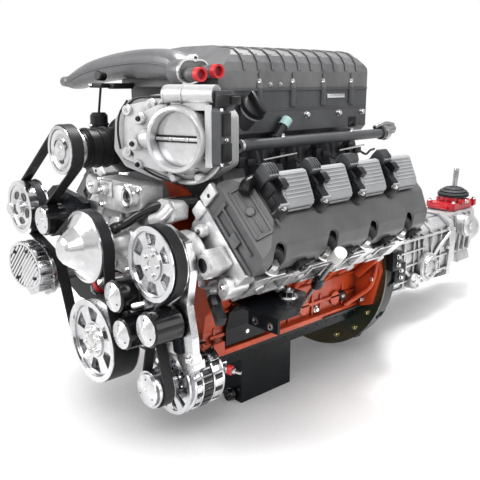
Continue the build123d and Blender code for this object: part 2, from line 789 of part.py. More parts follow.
def valve_cover():
    """Rocker cover with deep scallops for its lower bolts and a pad for each coil."""
    shell = slab(cover_section(0), cover_front_y, cover_rear_y, 14)
    shell = shell - box(-200, 200, -600, 100, head_top - 30, head_top) - front_bevel(0)
    room = slab(cover_section(cover_wall), cover_front_y + cover_wall, cover_rear_y - cover_wall)
    shell = shell - (room - front_bevel(cover_wall * 1.4))
    pads = []
    holes = []
    for index in range(cylinders_per_bank):
        y = bore_y(index)
        pads.append(box(-30, 30, y - 36, y + 36, cover_top - 14, cover_top + 2))
        holes.append(post(0, y, 16, cover_top - 20, cover_top + 3))
    scallops = []
    pillars = []
    for y in (-503.0, -357.0, -227.0, -98.0):
        pillars.append(post(90, y, 22, head_top, 400))
        scallops.append(post(94, y, 16, head_top + 12, 460))
        scallops.append(box(94, 130, y - 16, y + 16, head_top + 12, 460))
    keep = slab(cover_section(0), cover_front_y, cover_rear_y)
    inside = [keep & pillar for pillar in pillars]
    rail = slab([(94, head_top), (110, head_top), (110, head_top + 8), (94, head_top + 8)],
                cover_front_y + 10, cover_rear_y - 6)
    return (shell + pads + inside + rail) - scallops - holes


def valve_covers():
    return group(*on_both(valve_cover()))


def ignition_coil(index):
    """One coil, seated on its pad, with its stem, plug socket and bolt lug."""
    y = bore_y(index)
    seat = cover_top + 2
    front = y - coil_length / 2
    low = coil_top - coil_fall
    section = [(-coil_half, seat), (-coil_half, coil_top - 5), (-coil_half + 9, coil_top),
               (coil_half - 10, low), (coil_half, low - 8), (coil_half, seat)]
    body = slab(section, front, y + coil_length / 2, 3)
    stem = post(0, y, 15, cover_top - 60, seat + 1)
    wall = box(-36, 34, front - 20, front + 1, seat + 2, seat + 28)
    socket = box(-46, -18, front - 26, front - 3, seat + 14, coil_top + 6)
    lug = post(34, front - 10, 10, seat, seat + 18)
    return body + [stem, wall, socket, lug]


def ignition_coils():
    coils = []
    for index in range(cylinders_per_bank):
        coils += on_both(ignition_coil(index))
    return group(*coils)


# Oil pan

def oil_pan():
    rail_z = pan_rail_z
    front_y = -block_length
    shallow = [(-rail_half, rail_z), (-rail_half, rail_z - 8), (-152, rail_z - 8), (-150, rail_z - 34),
               (-118, pan_floor_z), (118, pan_floor_z), (150, rail_z - 34), (152, rail_z - 8),
               (rail_half, rail_z - 8), (rail_half, rail_z)]
    tray = slab(shallow, front_y + 4, -14)
    sump = slab([(-sump_half, pan_floor_z + 20), (-sump_half, sump_floor_z), (sump_half, sump_floor_z),
                 (sump_half, pan_floor_z + 20)], sump_front_y, sump_rear_y)
    low = [(-150 + pan_wall, rail_z + 1), (-150 + pan_wall, rail_z - 34), (-118, pan_floor_z + pan_wall),
           (118, pan_floor_z + pan_wall), (150 - pan_wall, rail_z - 34), (150 - pan_wall, rail_z + 1)]
    room = slab(low, front_y + 4 + pan_wall, -14 - pan_wall)
    pit = box(-sump_half + pan_wall, sump_half - pan_wall, sump_front_y + pan_wall, sump_rear_y - pan_wall,
              sump_floor_z + pan_wall, rail_z)
    boss = rod(112, -176, 15, sump_front_y - 5, sump_front_y + 1)
    bore = rod(112, -176, 8, sump_front_y - 6, sump_front_y + 5)
    plug = rod(112, -176, 7.9, sump_front_y - 5, sump_front_y + 2)
    plug = plug + rod(112, -176, 13, sump_front_y - 14, sump_front_y - 5)
    return group(tray + sump + boss - [room, pit, bore], plug)


# Supercharger and induction

def blower_outline():
    """The lid's section, with a rounded shoulder on each side."""
    half = [(50, roof_z)]
    for angle in (90, 67, 45, 23, 0):
        turn = math.radians(angle)
        x = blower_half - shoulder_run * (1 - math.cos(turn))
        half.append((x, shoulder_z + shoulder_rise * math.sin(turn)))
    half.append((blower_half, seam_z))
    return [(-x, z) for x, z in half[::-1]] + half


def supercharger_lid():
    """Charge cooler lid with transverse ribs over its roof and bolt columns down its sides."""
    y0, y1 = blower_front_y, blower_rear_y
    lid = slab(blower_outline(), y0, y1)
    side = [(y0, seam_z), (y0, seam_z + 34), (y0 + 79, roof_z + 8), (y1 - 56, roof_z + 8),
            (y1, shoulder_z + 9), (y1, seam_z)]
    side_view = extrude(Plane.YZ.offset(-200) * Polygon(*side, align=None), amount=400, dir=(1, 0, 0))
    ribs = []
    pitch = 40.0
    for index in range(roof_ribs):
        y = y0 + 70 + pitch * index
        rib = [(x * 1.012, z + rib_height) for x, z in blower_outline()[1:-1]]
        ribs.append(slab(rib, y - 4, y + 4))
    lid = (lid + ribs) & side_view
    columns = []
    for index in range(4):
        y = -356.7 + 99.7 * index
        for side in (-1, 1):
            x = side * blower_half
            columns.append(post(x - side, y, 8, seam_z, seam_z + 12))
            columns.append(box(x - 3, x + 3, y - 3, y + 3, seam_z, shoulder_z - 3))
    return lid + columns


def supercharger_case():
    """Rotor housing on the intake faces of both heads, with four runners a side."""
    y0, y1 = blower_front_y, blower_rear_y
    upper = slab([(-blower_half, seam_z), (-blower_half, 414), (-138, blower_bottom), (138, blower_bottom),
                  (blower_half, 414), (blower_half, seam_z)], y0, y1)
    inner = head_inner_u - seat_gap
    flange_low = bank_point(inner, 262)
    flange_high = bank_point(inner, 340)
    edge_high = bank_point(inner - 12, 340)
    half = [(100, 258), flange_low, flange_high, edge_high, (158, 350), (140, blower_bottom + 1)]
    lower = slab(mirrored(half), y0, -32)
    pockets = []
    for index in range(3):
        y = bore_y(index) + bore_spacing / 2
        pockets.append(box(128, 168, y - 22, y + 22, 312, 392))
        pockets.append(box(-168, -128, y - 22, y + 22, 312, 392))
    left_x, right_x = blower_x, blower_x + rotor_centres
    rooms = [rod(x, blower_z, rotor_radius + 1, y0 + 20, y1 - 60) for x in (left_x, right_x)]
    bearings = [rod(left_x, blower_z, 12 + running_fit, y0 - 1, y1 - 40),
                rod(right_x, blower_z, 12 + running_fit, y0 + 6, y1 - 40)]
    columns = []
    for index in range(4):
        y = -356.7 + 99.7 * index
        for side in (-1, 1):
            columns.append(post(side * (blower_half - 1), y, 9, 466, seam_z))
    neck = filler_frame() * Cylinder(20, filler_neck, align=base_align)
    case = (upper + lower - pockets) + columns + [neck]
    return case - rooms - bearings


def rotor_section(x, turn):
    """A three lobed rotor section with round lobes, in X and Z."""
    root = rotor_centres - rotor_radius - 1.5
    y0, y1 = blower_front_y + 22, blower_rear_y - 62
    solid = rod(x, blower_z, root, y0, y1)
    reach = rotor_radius - rotor_lobe / 2
    lobes = []
    for index in range(3):
        angle = math.radians(turn + 120 * index)
        mx, mz = math.cos(angle), math.sin(angle)
        sx, sz = -mz, mx
        half = rotor_lobe / 2
        points = [(x + half * sx, blower_z + half * sz), (x - half * sx, blower_z - half * sz),
                  (x + reach * mx - half * sx, blower_z + reach * mz - half * sz),
                  (x + reach * mx + half * sx, blower_z + reach * mz + half * sz)]
        lobes.append(slab(points, y0, y1))
        lobes.append(rod(x + reach * mx, blower_z + reach * mz, half, y0, y1))
    return solid + lobes


def drive_rotor():
    """Driven from the pulley through the snout."""
    return rotor_section(blower_x, 90) + rod(blower_x, blower_z, 12, front_plane_y + 12, blower_rear_y - 42)


def driven_rotor():
    x = blower_x + rotor_centres
    return rotor_section(x, 30) + rod(x, blower_z, 12, blower_front_y + 8, blower_rear_y - 42)


def supercharger_snout():
    """Drive housing between the pulley and the rotor case."""
    profile = [(12 + running_fit, -652), (32, -652), (32, -636), (40, -630), (40, -566), (58, -548),
               (58, blower_front_y - 0.3), (12 + running_fit, blower_front_y - 0.3)]
    snout = turned(blower_x, blower_z, profile)
    feet = [box(blower_x - 76, blower_x - 40, -500, blower_front_y - 0.3, blower_z + 20, blower_z + 52)]
    return snout + feet


def throttle_frame(shape):
    """Sets a shape from the throttle body's own frame into place."""
    return Pos(throttle_x, throttle_y, throttle_z) * Rot(0, 0, throttle_yaw) * shape


def throttle_body():
    """Round mouth, wide flange, motor barrel and shaft bosses."""
    y1 = throttle_flange_y
    barrel = turned(0, 0, [(throttle_bore, 0), (throttle_lip, 0), (throttle_lip, 8), (60, 14), (62, y1 + 1),
                           (throttle_bore, y1 + 1)])
    flange = slab([(-150, -43), (-135, 56), (-66, 70), (45, 66), (60, 40), (60, -45), (15, -72), (-40, -75)],
                  y1, y1 + throttle_flange, 14)
    shoulder = slab([(-110, -50), (-100, 40), (-50, 60), (0, 60), (0, -62), (-50, -62)], y1 - 16, y1 + 1, 12)
    motor = cross_rod(28, 78, 18, -26, 74)
    web = box(-14, 66, 16, y1 + 6, 52, 70)
    gear = box(60, 74, 10, y1 + 4, -46, 62)
    bosses = [cross_rod(24, 0, 12, -70, -54)]
    body = barrel + [flange, shoulder, motor, web, gear] + bosses
    bore = rod(0, 0, throttle_bore, -1, y1 + throttle_flange + 1)
    shaft = cross_rod(24, 0, 5 + running_fit, -64, 68)
    return throttle_frame(body - bore - shaft)


def throttle_plate():
    """Butterfly and its shaft, closed across the bore."""
    disc = rod(0, 0, throttle_bore - 0.2, 22.75, 25.25)
    shaft = cross_rod(24, 0, 5, -62, 66)
    return throttle_frame(disc + shaft)


def throttle_cover():
    """Moulded cover of the throttle gears, with its plug socket."""
    cover = box(74.3, 92, 8, throttle_flange_y + 2, -44, 58)
    cover = fillet(cover.edges().filter_by(Axis.X), 8)
    socket = box(78, 102, 16, 40, 52, 86)
    return throttle_frame(cover + socket)


def inlet_elbow():
    """Casting that turns the air from the throttle into the front of the rotor case."""
    y0 = throttle_flange_y + throttle_flange + 0.3
    outline = [(-176, -30), (-170, 30), (-140, 66), (-70, 78), (50, 74), (78, 40), (78, -50), (30, -80),
               (-70, -84), (-150, -62)]
    front = throttle_frame(slab(outline, y0, y0 + 46, 16))
    duct = slab([(-14, 352), (-14, 470), (30, 488), (140, 488), (146, 440), (140, 352)], -560,
                blower_front_y - 0.3, 12)
    elbow = front + duct
    bore = throttle_frame(rod(0, 0, throttle_bore + 0.4, y0 - 1, y0 + 30))
    clear = rod(blower_x, blower_z, 58 + 1, -660, -400)
    return elbow - [bore, clear]


def end_flange():
    """Oval flange at the plus X end of the bridge, which both stubs pass through."""
    x0, x1 = stub_face_x - 40, stub_face_x
    big = cross_rod(-520, 536, 24, x0, x1)
    small = cross_rod(-488, 540, 19, x0, x1)
    middle = Polygon((-520, 560), (-488, 559), (-488, 521), (-520, 512), align=None)
    return big + [small, extrude(Plane.YZ.offset(x0) * middle, amount=x1 - x0, dir=(1, 0, 0))]


def coolant_manifold():
    """Bridge duct from the lid to the minus X side, with its end flange and hose stubs."""
    rear = blower_front_y - seat_gap
    top = [(-332, 532), (-250, 560), (-140, 577), (-32, 583), (60, 576), (100, 556)]
    bottom = [(100, 514), (60, 520), (-60, 524), (-180, 520), (-270, 508), (-332, 498)]
    bridge = slab(top + bottom, -534, rear, 10)
    foot = box(-140, 100, -500, rear, 506, 540)
    tail = cross_rod(tail_y, tail_z, tail_radius, tail_end_x, tail_collar_x)
    collar = cross_rod(tail_y, tail_z, tail_radius + 3, tail_collar_x, tail_collar_x + 6)
    stubs = [cross_rod(y, z, stub_radius, stub_face_x - 30, x - plug_length) for x, y, z in stub_ends]
    return bridge + [foot, tail, collar, end_flange()] + stubs


def hose_plugs():
    """Hollow plugs on the open ends of the two stubs."""
    plugs = []
    for x, y, z in stub_ends:
        plug = cross_rod(y, z, plug_radius, x - plug_length, x)
        plugs.append(plug - cross_rod(y, z, stub_radius - 2, x - 8, x + 1))
    return group(*plugs)


def fuel_rails():
    """Rail and four injectors on each side, seated in the runners."""
    solids = []
    for side in (-1, 1):
        shift = bank_stagger if side < 0 else 0
        rail = rod(side * 192, 396, 11, -438 + shift, 12 + shift)
        cap = rod(side * 192, 396, 13, -444 + shift, -434 + shift)
        feed = rod(side * 192, 396, 15, 8 + shift, 34 + shift)
        injectors = []
        for index in range(cylinders_per_bank):
            y = bore_y(index) + shift
            axis = Pos(side * 192, y, 396) * Rot(0, side * 38, 0)
            injectors.append(axis * Pos(0, 0, -51) * Cylinder(7, 47, align=base_align))
        solids.append(rail + [cap, feed] + injectors)
    return group(*solids)


# Rear end

def block_plate():
    plate = rod(0, plate_z, plate_radius, 0, plate_thick)
    return plate - rod(0, 0, 46, -1, plate_thick + 1)


def flywheel():
    """Flywheel on the crank flange with its ring gear."""
    wheel = turned(0, 0, [(0, 10), (60, 10), (150, 14), (158, 14), (158, 12), (172, 12), (172, 26), (158, 26),
                          (158, 40), (0, 40)])
    flange = rod(0, 0, main_radius - 0.5, 6.05, 11)
    return wheel + flange


def bell_cone(front_radius, rear_radius, y0, y1):
    front = Plane.XZ.offset(-y0) * Pos(0, plate_z) * Circle(front_radius)
    back = Plane.XZ.offset(-y1) * Circle(rear_radius)
    return loft([front, back])


def bellhousing():
    """Deep casting over the flywheel, from the block plate to the gearbox."""
    y0 = plate_thick
    y1 = y0 + bell_length
    radius = plate_radius - 6
    cone_y = y0 + bell_straight
    shell = rod(0, plate_z, radius, y0, cone_y) + bell_cone(radius, bell_rear, cone_y, y1)
    room = rod(0, plate_z, radius - bell_wall, y0 - 1, y0 + bell_straight)
    room = room + bell_cone(radius - bell_wall, bell_rear - bell_wall, y0 + bell_straight, y1 - 10)
    return shell - room - rod(0, 0, 36.5, y1 - 12, y1 + 1)


def case_outline(grow, lift):
    half = [(50, 92 + lift), (78 + grow, 70 + lift), (86 + grow, 0), (80 + grow, -84 - lift), (40, -108 - lift)]
    return mirrored(half)


def gearbox_case():
    """Main gearbox case: bell flange, ribbed barrel and joint flange."""
    y0 = plate_thick + bell_length
    y1 = y0 + case_length
    front = rod(0, 0, 116, y0, y0 + 14)
    nose = rod(0, 0, 36, y0 - 10, y0 + 1)
    barrel = slab(case_outline(0, 0), y0 + 10, y1 - 12, 12)
    ribs = [slab(case_outline(5, 4), y0 + 60 + 70 * i, y0 + 68 + 70 * i, 12) for i in range(4)]
    joint = slab(case_outline(10, 10), y1 - 14, y1, 12)
    cover = cross_rod(y0 + 240, -40, 46, 70, 104)
    lower = cross_rod(y0 + 170, -70, 24, 70, 100)
    return front + [nose, barrel, joint, cover, lower] + ribs


def gearbox_tail():
    """Tail housing with the shifter seat, a mounting foot and the output bearing."""
    y0 = plate_thick + bell_length + case_length
    y1 = y0 + tail_length
    joint = slab(case_outline(10, 10), y0, y0 + 12, 12)
    body = slab([(-58, 96), (58, 96), (66, 30), (50, -52), (-50, -52), (-66, 30)], y0 + 10, y0 + 196, 10)
    barrel = rod(0, output_z, output_radius + 6, y0 + 190, y1 + 20)
    foot = slab([(-60, -86), (60, -86), (46, -40), (-46, -40)], y0 + 120, y0 + 190, 6)
    tail = joint + [body, barrel, foot]
    bore = rod(0, output_z, 20 + running_fit, y0 + 120, y1 + 30)
    lever_room = post(0, y0 + 150, 14, 40, 100)
    return tail - [bore, lever_room]


def output_shaft():
    y0 = plate_thick + bell_length + case_length
    shaft = rod(0, output_z, 20, y0 + 122, y0 + tail_length + 24)
    flange = rod(0, output_z, output_radius - 4, y0 + tail_length + 20.5, y0 + tail_length + 32)
    bore = rod(0, output_z, 12, y0 + tail_length, y0 + tail_length + 40)
    return shaft + flange - bore


def shifter_base():
    y0 = plate_thick + bell_length + case_length
    y = y0 + 150
    base = box(-46, 46, y - 84, y + 70, 96.3, 118)
    base = fillet(base.edges().filter_by(Axis.Z), 10)
    tower = post(0, y, 40, 117, 134)
    return base + tower - [post(0, y + 4, 24, 90, 140)]


def shifter_boot():
    y = plate_thick + bell_length + case_length + 150
    profile = Polygon((0, 134), (48, 134), (52, 142), (46, 152), (26, 164), (0, 166), align=None)
    boot = Pos(0, y, 0) * revolve(Rot(90, 0, 0) * profile, Axis.Z)
    return boot - post(0, y + 7, 13, 130, 170)


def shift_lever():
    y = plate_thick + bell_length + case_length + 150
    rod_part = Pos(0, y, 80) * Rot(-6, 0, 0) * Pos(0, 0, -22) * Cylinder(8, 168, align=base_align)
    ball = Pos(0, y, 80) * Sphere(13.5)
    return rod_part + ball


# Small parts

def engine_mounts(block):
    """Folded steel brackets on both sides of the block, with two holes in their front flange."""
    plate = plan([(176, -478), (262, -488), (338, -488), (338, -430), (268, -330), (176, -330)], 84, 90, 4)
    lip = box(258, 338, -488, -482, 58, 85)
    lip = lip - [rod(x, 70, 6, -490, -480) for x in (278, 318)]
    web = slab([(150, -28), (160, -28), (160, 8), (172, 50), (208, 84.5), (190, 84.5), (158, 60), (150, 20)],
               -460, -345)
    nut = post(262, -380, 13, 90, 102)
    left = plate + [lip, web, nut] - block
    right = Pos(0, bank_stagger, 0) * mirror(plate + [lip, web, nut], about=Plane.YZ) - block
    return group(largest(left), largest(right))


def dipstick_line():
    """A frame at the foot of the dipstick tube, with its z along the tube."""
    start = Vector(*dipstick_foot)
    return Plane(origin=start, z_dir=Vector(*dipstick_top) - start)


def dipstick_length():
    return (Vector(*dipstick_top) - Vector(*dipstick_foot)).length


def dipstick_tube(block):
    """Tube up the plus X side, held by a stub from the crankcase wall."""
    x, y, z = dipstick_foot
    tube = dipstick_line() * Cylinder(dipstick_bore + 2, dipstick_length(), align=base_align)
    stub = cross_rod(y, z, 8, crankcase_half - 4, x) + Pos(x, y, z) * Sphere(8)
    bore = dipstick_line() * Cylinder(dipstick_bore, dipstick_length() + 1, align=base_align)
    return largest(tube + stub - block - bore)


def dipstick():
    """Blade in its tube, with the round pull on top."""
    length = dipstick_length()
    blade = Pos(0, 0, 4) * Cylinder(dipstick_bore - running_fit, length, align=base_align)
    knob = Pos(0, 0, length + 0.5) * Cylinder(dipstick_knob, 26, align=base_align)
    return dipstick_line() * (blade + knob)


def filler_frame():
    """Axis of the oil filler neck, from the case outwards."""
    return Pos(139, -395, 435.4) * Rot(0, 48, 0)


def oil_filler_cap():
    frame = filler_frame() * Pos(0, 0, filler_neck + seat_gap)
    cap = frame * Cylinder(27, 10, align=base_align)
    grip = frame * Pos(0, 0, 16) * Box(50, 9, 14)
    return cap + grip


def build_nodes():
    block = engine_block()
    pump = water_pump()
    nodes = {
        "engine_block": block,
        "main_bearing_caps": main_bearing_caps(),
        "oil_pan": oil_pan(),
        "cylinder_heads": cylinder_heads(),
        "head_gaskets": head_gaskets(),
        "valve_covers": valve_covers(),
        "ignition_coils": ignition_coils(),
        "pistons": pistons(),
        "connecting_rods": connecting_rods(),
        "timing_chain": timing_chain(),
        "front_cover": front_cover(),
        "water_pump": pump,
        "thermostat_housing": thermostat_housing(pump),
        "front_bracket_left": front_bracket_left(),
        "front_bracket_right": front_bracket_right(),
        "power_steering_pump": power_steering_pump(),
        "compressor_body": compressor_body(),
        "alternator_case": alternator_case(),
        "alternator_stator": alternator_stator(),
        "supercharger_case": supercharger_case(),
        "supercharger_lid": supercharger_lid(),
        "supercharger_snout": supercharger_snout(),
        "coolant_manifold": coolant_manifold(),
        "hose_plugs": hose_plugs(),
        "inlet_elbow": inlet_elbow(),
        "throttle_body": throttle_body(),
        "throttle_cover": throttle_cover(),
        "fuel_rails": fuel_rails(),
        "dipstick_tube": dipstick_tube(block),
        "engine_mounts": engine_mounts(block),
        "block_plate": block_plate(),
        "bellhousing": bellhousing(),
        "gearbox_case": gearbox_case(),
        "gearbox_tail": gearbox_tail(),
        "shifter_base": shifter_base(),
        "shifter_boot": shifter_boot(),
        "supercharger_belt": supercharger_belt(),
        "accessory_belt": accessory_belt(),
        "crankshaft": crankshaft(),
        "crank_pulley": crank_pulley(),
        "flywheel": flywheel(),
        "camshaft": camshaft(),
        "water_pump_pulley": water_pump_pulley(),
        "supercharger_pulley": supercharger_pulley(),
        "drive_rotor": drive_rotor(),
        "driven_rotor": driven_rotor(),
        "guide_pulley": guide_pulley(),
        "smooth_idler": roller(smooth_x, smooth_z, smooth_radius, -705, front_plane_end),
        "compressor_pulley": compressor_pulley(),
        "twin_idler": roller(twin_x, twin_z, twin_radius, front_plane_y, rear_plane_end),
        "lower_idler": roller(lower_x, lower_z, lower_radius, front_plane_y, rear_plane_end),
        "tensioner_arm": tensioner_arm(),
        "tensioner_pulley": roller(tensioner_x, tensioner_z, tensioner_radius, front_plane_y, rear_plane_end),
        "power_steering_pulley": power_steering_pulley(),
        "alternator_rotor": alternator_rotor(),
        "throttle_plate": throttle_plate(),
        "oil_filler_cap": oil_filler_cap(),
        "dipstick": dipstick(),
        "shift_lever": shift_lever(),
        "output_shaft": output_shaft(),
    }
    return nodes


def main():
    nodes = build_nodes()
    boxes = [shape.bounding_box() for shape in nodes.values()]
    low = [min(getattr(b.min, axis) for b in boxes) for axis in ("X", "Y", "Z")]
    high = [max(getattr(b.max, axis) for b in boxes) for axis in ("X", "Y", "Z")]
    shift = Pos(-(low[0] + high[0]) / 2, -(low[1] + high[1]) / 2, -low[2])
    print("moved by", shift.position)
    print("size", [round(h - l, 1) for l, h in zip(low, high)])
    os.makedirs("parts", exist_ok=True)
    for name, shape in nodes.items():
        export_step(shift * shape, f"parts/{name}.step")


main()
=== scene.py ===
from math import acos, atan2, copysign, cos, hypot, pi, radians, sin, sqrt, tau
import bmesh
import bpy
from mathutils import Matrix, Vector


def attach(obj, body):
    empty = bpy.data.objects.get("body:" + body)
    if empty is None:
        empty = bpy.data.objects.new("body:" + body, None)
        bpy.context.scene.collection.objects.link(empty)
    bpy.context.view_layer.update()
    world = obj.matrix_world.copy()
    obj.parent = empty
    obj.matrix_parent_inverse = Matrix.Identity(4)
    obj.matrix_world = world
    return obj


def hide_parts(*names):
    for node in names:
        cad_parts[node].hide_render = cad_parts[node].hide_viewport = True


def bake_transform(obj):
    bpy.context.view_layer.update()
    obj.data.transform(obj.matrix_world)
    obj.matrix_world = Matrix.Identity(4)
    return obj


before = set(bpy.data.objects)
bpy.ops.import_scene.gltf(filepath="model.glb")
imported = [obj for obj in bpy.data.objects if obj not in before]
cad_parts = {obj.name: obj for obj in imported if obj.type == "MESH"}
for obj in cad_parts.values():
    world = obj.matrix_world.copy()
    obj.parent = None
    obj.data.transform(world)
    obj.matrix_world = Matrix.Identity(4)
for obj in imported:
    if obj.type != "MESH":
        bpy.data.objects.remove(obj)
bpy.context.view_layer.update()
print("frame loaded,", len(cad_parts), "nodes")

# Lengths below are millimetres from the crank axis and the rear face of the block, as in the source.
# fromEngine puts them into the row's frame, in metres.
engineShift = (6.28941, -50.0, 191.0)
fromEngine = Matrix.Scale(0.001, 4) @ Matrix.Translation(engineShift)
half = sqrt(0.5)
banks = ((1, "Left"), (-1, "Right"))
stagger = {1: 0, -1: 22}
boreY = [-444.0 + 113.3 * i for i in range(4)]


def shifted(offset):
    return Matrix.Translation(offset)


def spun(degrees, axis):
    return Matrix.Rotation(radians(degrees), 4, axis)


def bankPoint(u, y, s, side=1):
    return Vector((side * (s + u) * half, y + stagger[side], (s - u) * half))


def bankTurn(side=1):
    # local x along u, y along the crank, z along the cylinder axis
    turn = Matrix(((half, 0, half, 0), (0, 1, 0, 0), (-half, 0, half, 0), (0, 0, 0, 1)))
    if side > 0:
        return turn
    return shifted((0, stagger[side], 0)) @ Matrix.Diagonal((-1, 1, 1, 1)) @ turn


# Sockets with operators, so that shader and geometry maths read as sums

class Wire:
    def __init__(self, graph, socket):
        self.graph = graph
        self.socket = socket

    def __add__(self, other):
        return self.graph.maths("ADD", self, other)

    def __sub__(self, other):
        return self.graph.maths("SUBTRACT", self, other)

    def __rsub__(self, other):
        return self.graph.maths("SUBTRACT", other, self)

    def __mul__(self, other):
        return self.graph.maths("MULTIPLY", self, other)


class Graph:
    def __init__(self, tree):
        self.tree = tree

    def node(self, kind, settings=None, inputs=None, output=0):
        item = self.tree.nodes.new(kind)
        for key, value in (settings or {}).items():
            if key == "stops":
                ramp = item.color_ramp
                while len(ramp.elements) > 1:
                    ramp.elements.remove(ramp.elements[0])
                ramp.elements[0].position, ramp.elements[0].color = value[0]
                for place, colour in value[1:]:
                    ramp.elements.new(place).color = colour
            else:
                setattr(item, key, value)
        for key, value in (inputs or {}).items():
            self.feed(item.inputs[key], value)
        return Wire(self, item.outputs[output])

    def shader(self, kind, inputs=None, settings=None, output=0):
        return self.node("ShaderNode" + kind, settings, inputs, output)

    def feed(self, socket, value):
        if isinstance(value, Wire):
            self.tree.links.new(value.socket, socket)
        else:
            socket.default_value = value

    def maths(self, operation, a, b):
        return self.node("ShaderNodeMath", {"operation": operation}, {0: a, 1: b})

    def mixColour(self, amount, a, b):
        item = self.tree.nodes.new("ShaderNodeMix")
        item.data_type = "RGBA"
        self.feed(item.inputs[0], amount)
        self.feed(item.inputs[6], a)
        self.feed(item.inputs[7], b)
        return Wire(self, item.outputs[2])


def linked(item):
    bpy.context.scene.collection.objects.link(item)
    return item


# Finishes

def rgb(r, g, b):
    return (r, g, b, 1.0)


def paint(colour, shade, roughness, cast, castSize, **more):
    return {"colour": colour, "shade": shade, "roughness": roughness, "cast": cast, "castSize": castSize,
        **more}


# main and shaded colour, roughness, depth and fineness of the casting's grain, and what only some have
# where a finish has a reach in metres for painted shade, its corners and gaps within that reach are darkened
finishes = {
    "blockPaint": paint((0.74, 0.095, 0.022), (0.5, 0.052, 0.013), 0.34, 0.5, 260, coat=0.15, grime=0.03),
    "panPaint": paint((0.006, 0.009, 0.01), (0.003, 0.004, 0.005), 0.25, 0.06, 90, coat=0.1, specular=0.15),
    "bracketPaint": paint((0.008, 0.009, 0.013), (0.004, 0.005, 0.006), 0.3, 0.08, 150, coat=0.04,
        specular=0.2),
    "coverPaint": paint((0.11, 0.11, 0.113), (0.08, 0.08, 0.083), 0.4, 0.35, 700, grime=0.02),
    "housingPaint": paint((0.078, 0.079, 0.085), (0.05, 0.051, 0.056), 0.38, 0.4, 620, grime=0.02),
    "lidPaint": paint((0.165, 0.165, 0.169), (0.11, 0.11, 0.114), 0.38, 0.4, 620, grime=0.02),
    "bridgePaint": paint((0.15, 0.15, 0.155), (0.11, 0.11, 0.115), 0.28, 0.3, 620, grime=0.015),
    "elbowPaint": paint((0.46, 0.46, 0.465), (0.36, 0.36, 0.365), 0.42, 0.4, 500, grime=0.02),
    "castAluminium": paint((0.95, 0.95, 0.95), (0.66, 0.66, 0.67), 0.34, 0.8, 170, metallic=0.6, grime=0.022),
    "throttleAluminium": paint((0.7, 0.7, 0.7), (0.52, 0.52, 0.53), 0.4, 0.5, 420, metallic=0.7, grime=0.015),
    "gearboxAluminium": paint((0.78, 0.78, 0.78), (0.5, 0.5, 0.51), 0.38, 0.8, 140, metallic=0.7, grime=0.03),
    "polishedAluminium": paint((0.86, 0.86, 0.87), (0.7, 0.7, 0.71), 0.15, 0.04, 60, metallic=1.0,
        grime=0.006),
    "sheenAluminium": paint((0.8, 0.8, 0.81), (0.64, 0.64, 0.65), 0.25, 0.12, 90, metallic=1.0, grime=0.008),
    "whiteAluminium": paint((0.97, 0.97, 0.97), (0.9, 0.9, 0.9), 0.42, 0.15, 120, metallic=0.3),
    "chrome": paint((0.8, 0.8, 0.82), (0.7, 0.7, 0.72), 0.08, 0.02, 60, metallic=1.0, grime=0.006),
    "machinedSteel": paint((0.5, 0.5, 0.5), (0.34, 0.34, 0.34), 0.27, 0.1, 300, metallic=1.0),
    "boltSteel": paint((0.8, 0.8, 0.79), (0.6, 0.6, 0.59), 0.22, 0.08, 400, metallic=1.0),
    "yellowZinc": paint((0.6, 0.5, 0.26), (0.46, 0.4, 0.22), 0.28, 0.1, 400, metallic=1.0),
    "passivatedPlate": paint((0.12, 0.09, 0.055), (0.04, 0.1, 0.07), 0.3, 0.1, 120, metallic=0.8, clouds=9.0),
    "coilPlastic": paint((0.35, 0.355, 0.36), (0.28, 0.285, 0.29), 0.45, 0.15, 900, grime=0.01),
    "blackPlastic": paint((0.012, 0.012, 0.014), (0.007, 0.007, 0.008), 0.36, 0.12, 800, specular=0.35),
    "rollerPlastic": paint((0.008, 0.008, 0.009), (0.005, 0.005, 0.006), 0.17, 0.02, 100, coat=0.15,
        specular=0.4),
    "redPlastic": paint((0.66, 0.02, 0.03), (0.52, 0.015, 0.02), 0.4, 0.1, 500),
    "redPaintedShade": paint((0.2, 0.006, 0.01), (0.12, 0.004, 0.006), 0.5, 0.1, 500),
    "redPaint": paint((0.6, 0.006, 0.02), (0.42, 0.004, 0.012), 0.28, 0.1, 200, coat=0.3, grime=0.015),
    "mintPlastic": paint((0.4, 0.6, 0.58), (0.34, 0.53, 0.51), 0.45, 0.1, 400),
    "whitePlastic": paint((0.8, 0.79, 0.75), (0.68, 0.67, 0.63), 0.35, 0.1, 300),
    "hoseRubber": paint((0.012, 0.012, 0.013), (0.008, 0.008, 0.009), 0.26, 0.15, 250, specular=0.4),
    "bootRubber": paint((0.035, 0.035, 0.04), (0.022, 0.022, 0.025), 0.6, 0.3, 500),
    "beltBack": paint((0.024, 0.024, 0.026), (0.015, 0.015, 0.016), 0.42, 0.3, 1400, specular=0.25),
    "gasketGrey": paint((0.08, 0.085, 0.085), (0.04, 0.05, 0.05), 0.5, 0.2, 300, metallic=0.4),
    "windingPack": paint((0.04, 0.04, 0.044), (0.016, 0.016, 0.018), 0.4, 0.2, 400, metallic=0.7),
    "bareGrooves": paint((0.6, 0.6, 0.61), (0.5, 0.5, 0.51), 0.3, 1.0, 90, metallic=1.0, ribs=3.3,
        depth=0.0008),
    "darkGrooves": paint((0.06, 0.06, 0.065), (0.04, 0.04, 0.043), 0.35, 1.0, 90, metallic=0.6, ribs=3.3,
        depth=0.0008),
}
palette = {}
ripple = 6283.2  # radians per metre at a pitch of one millimetre


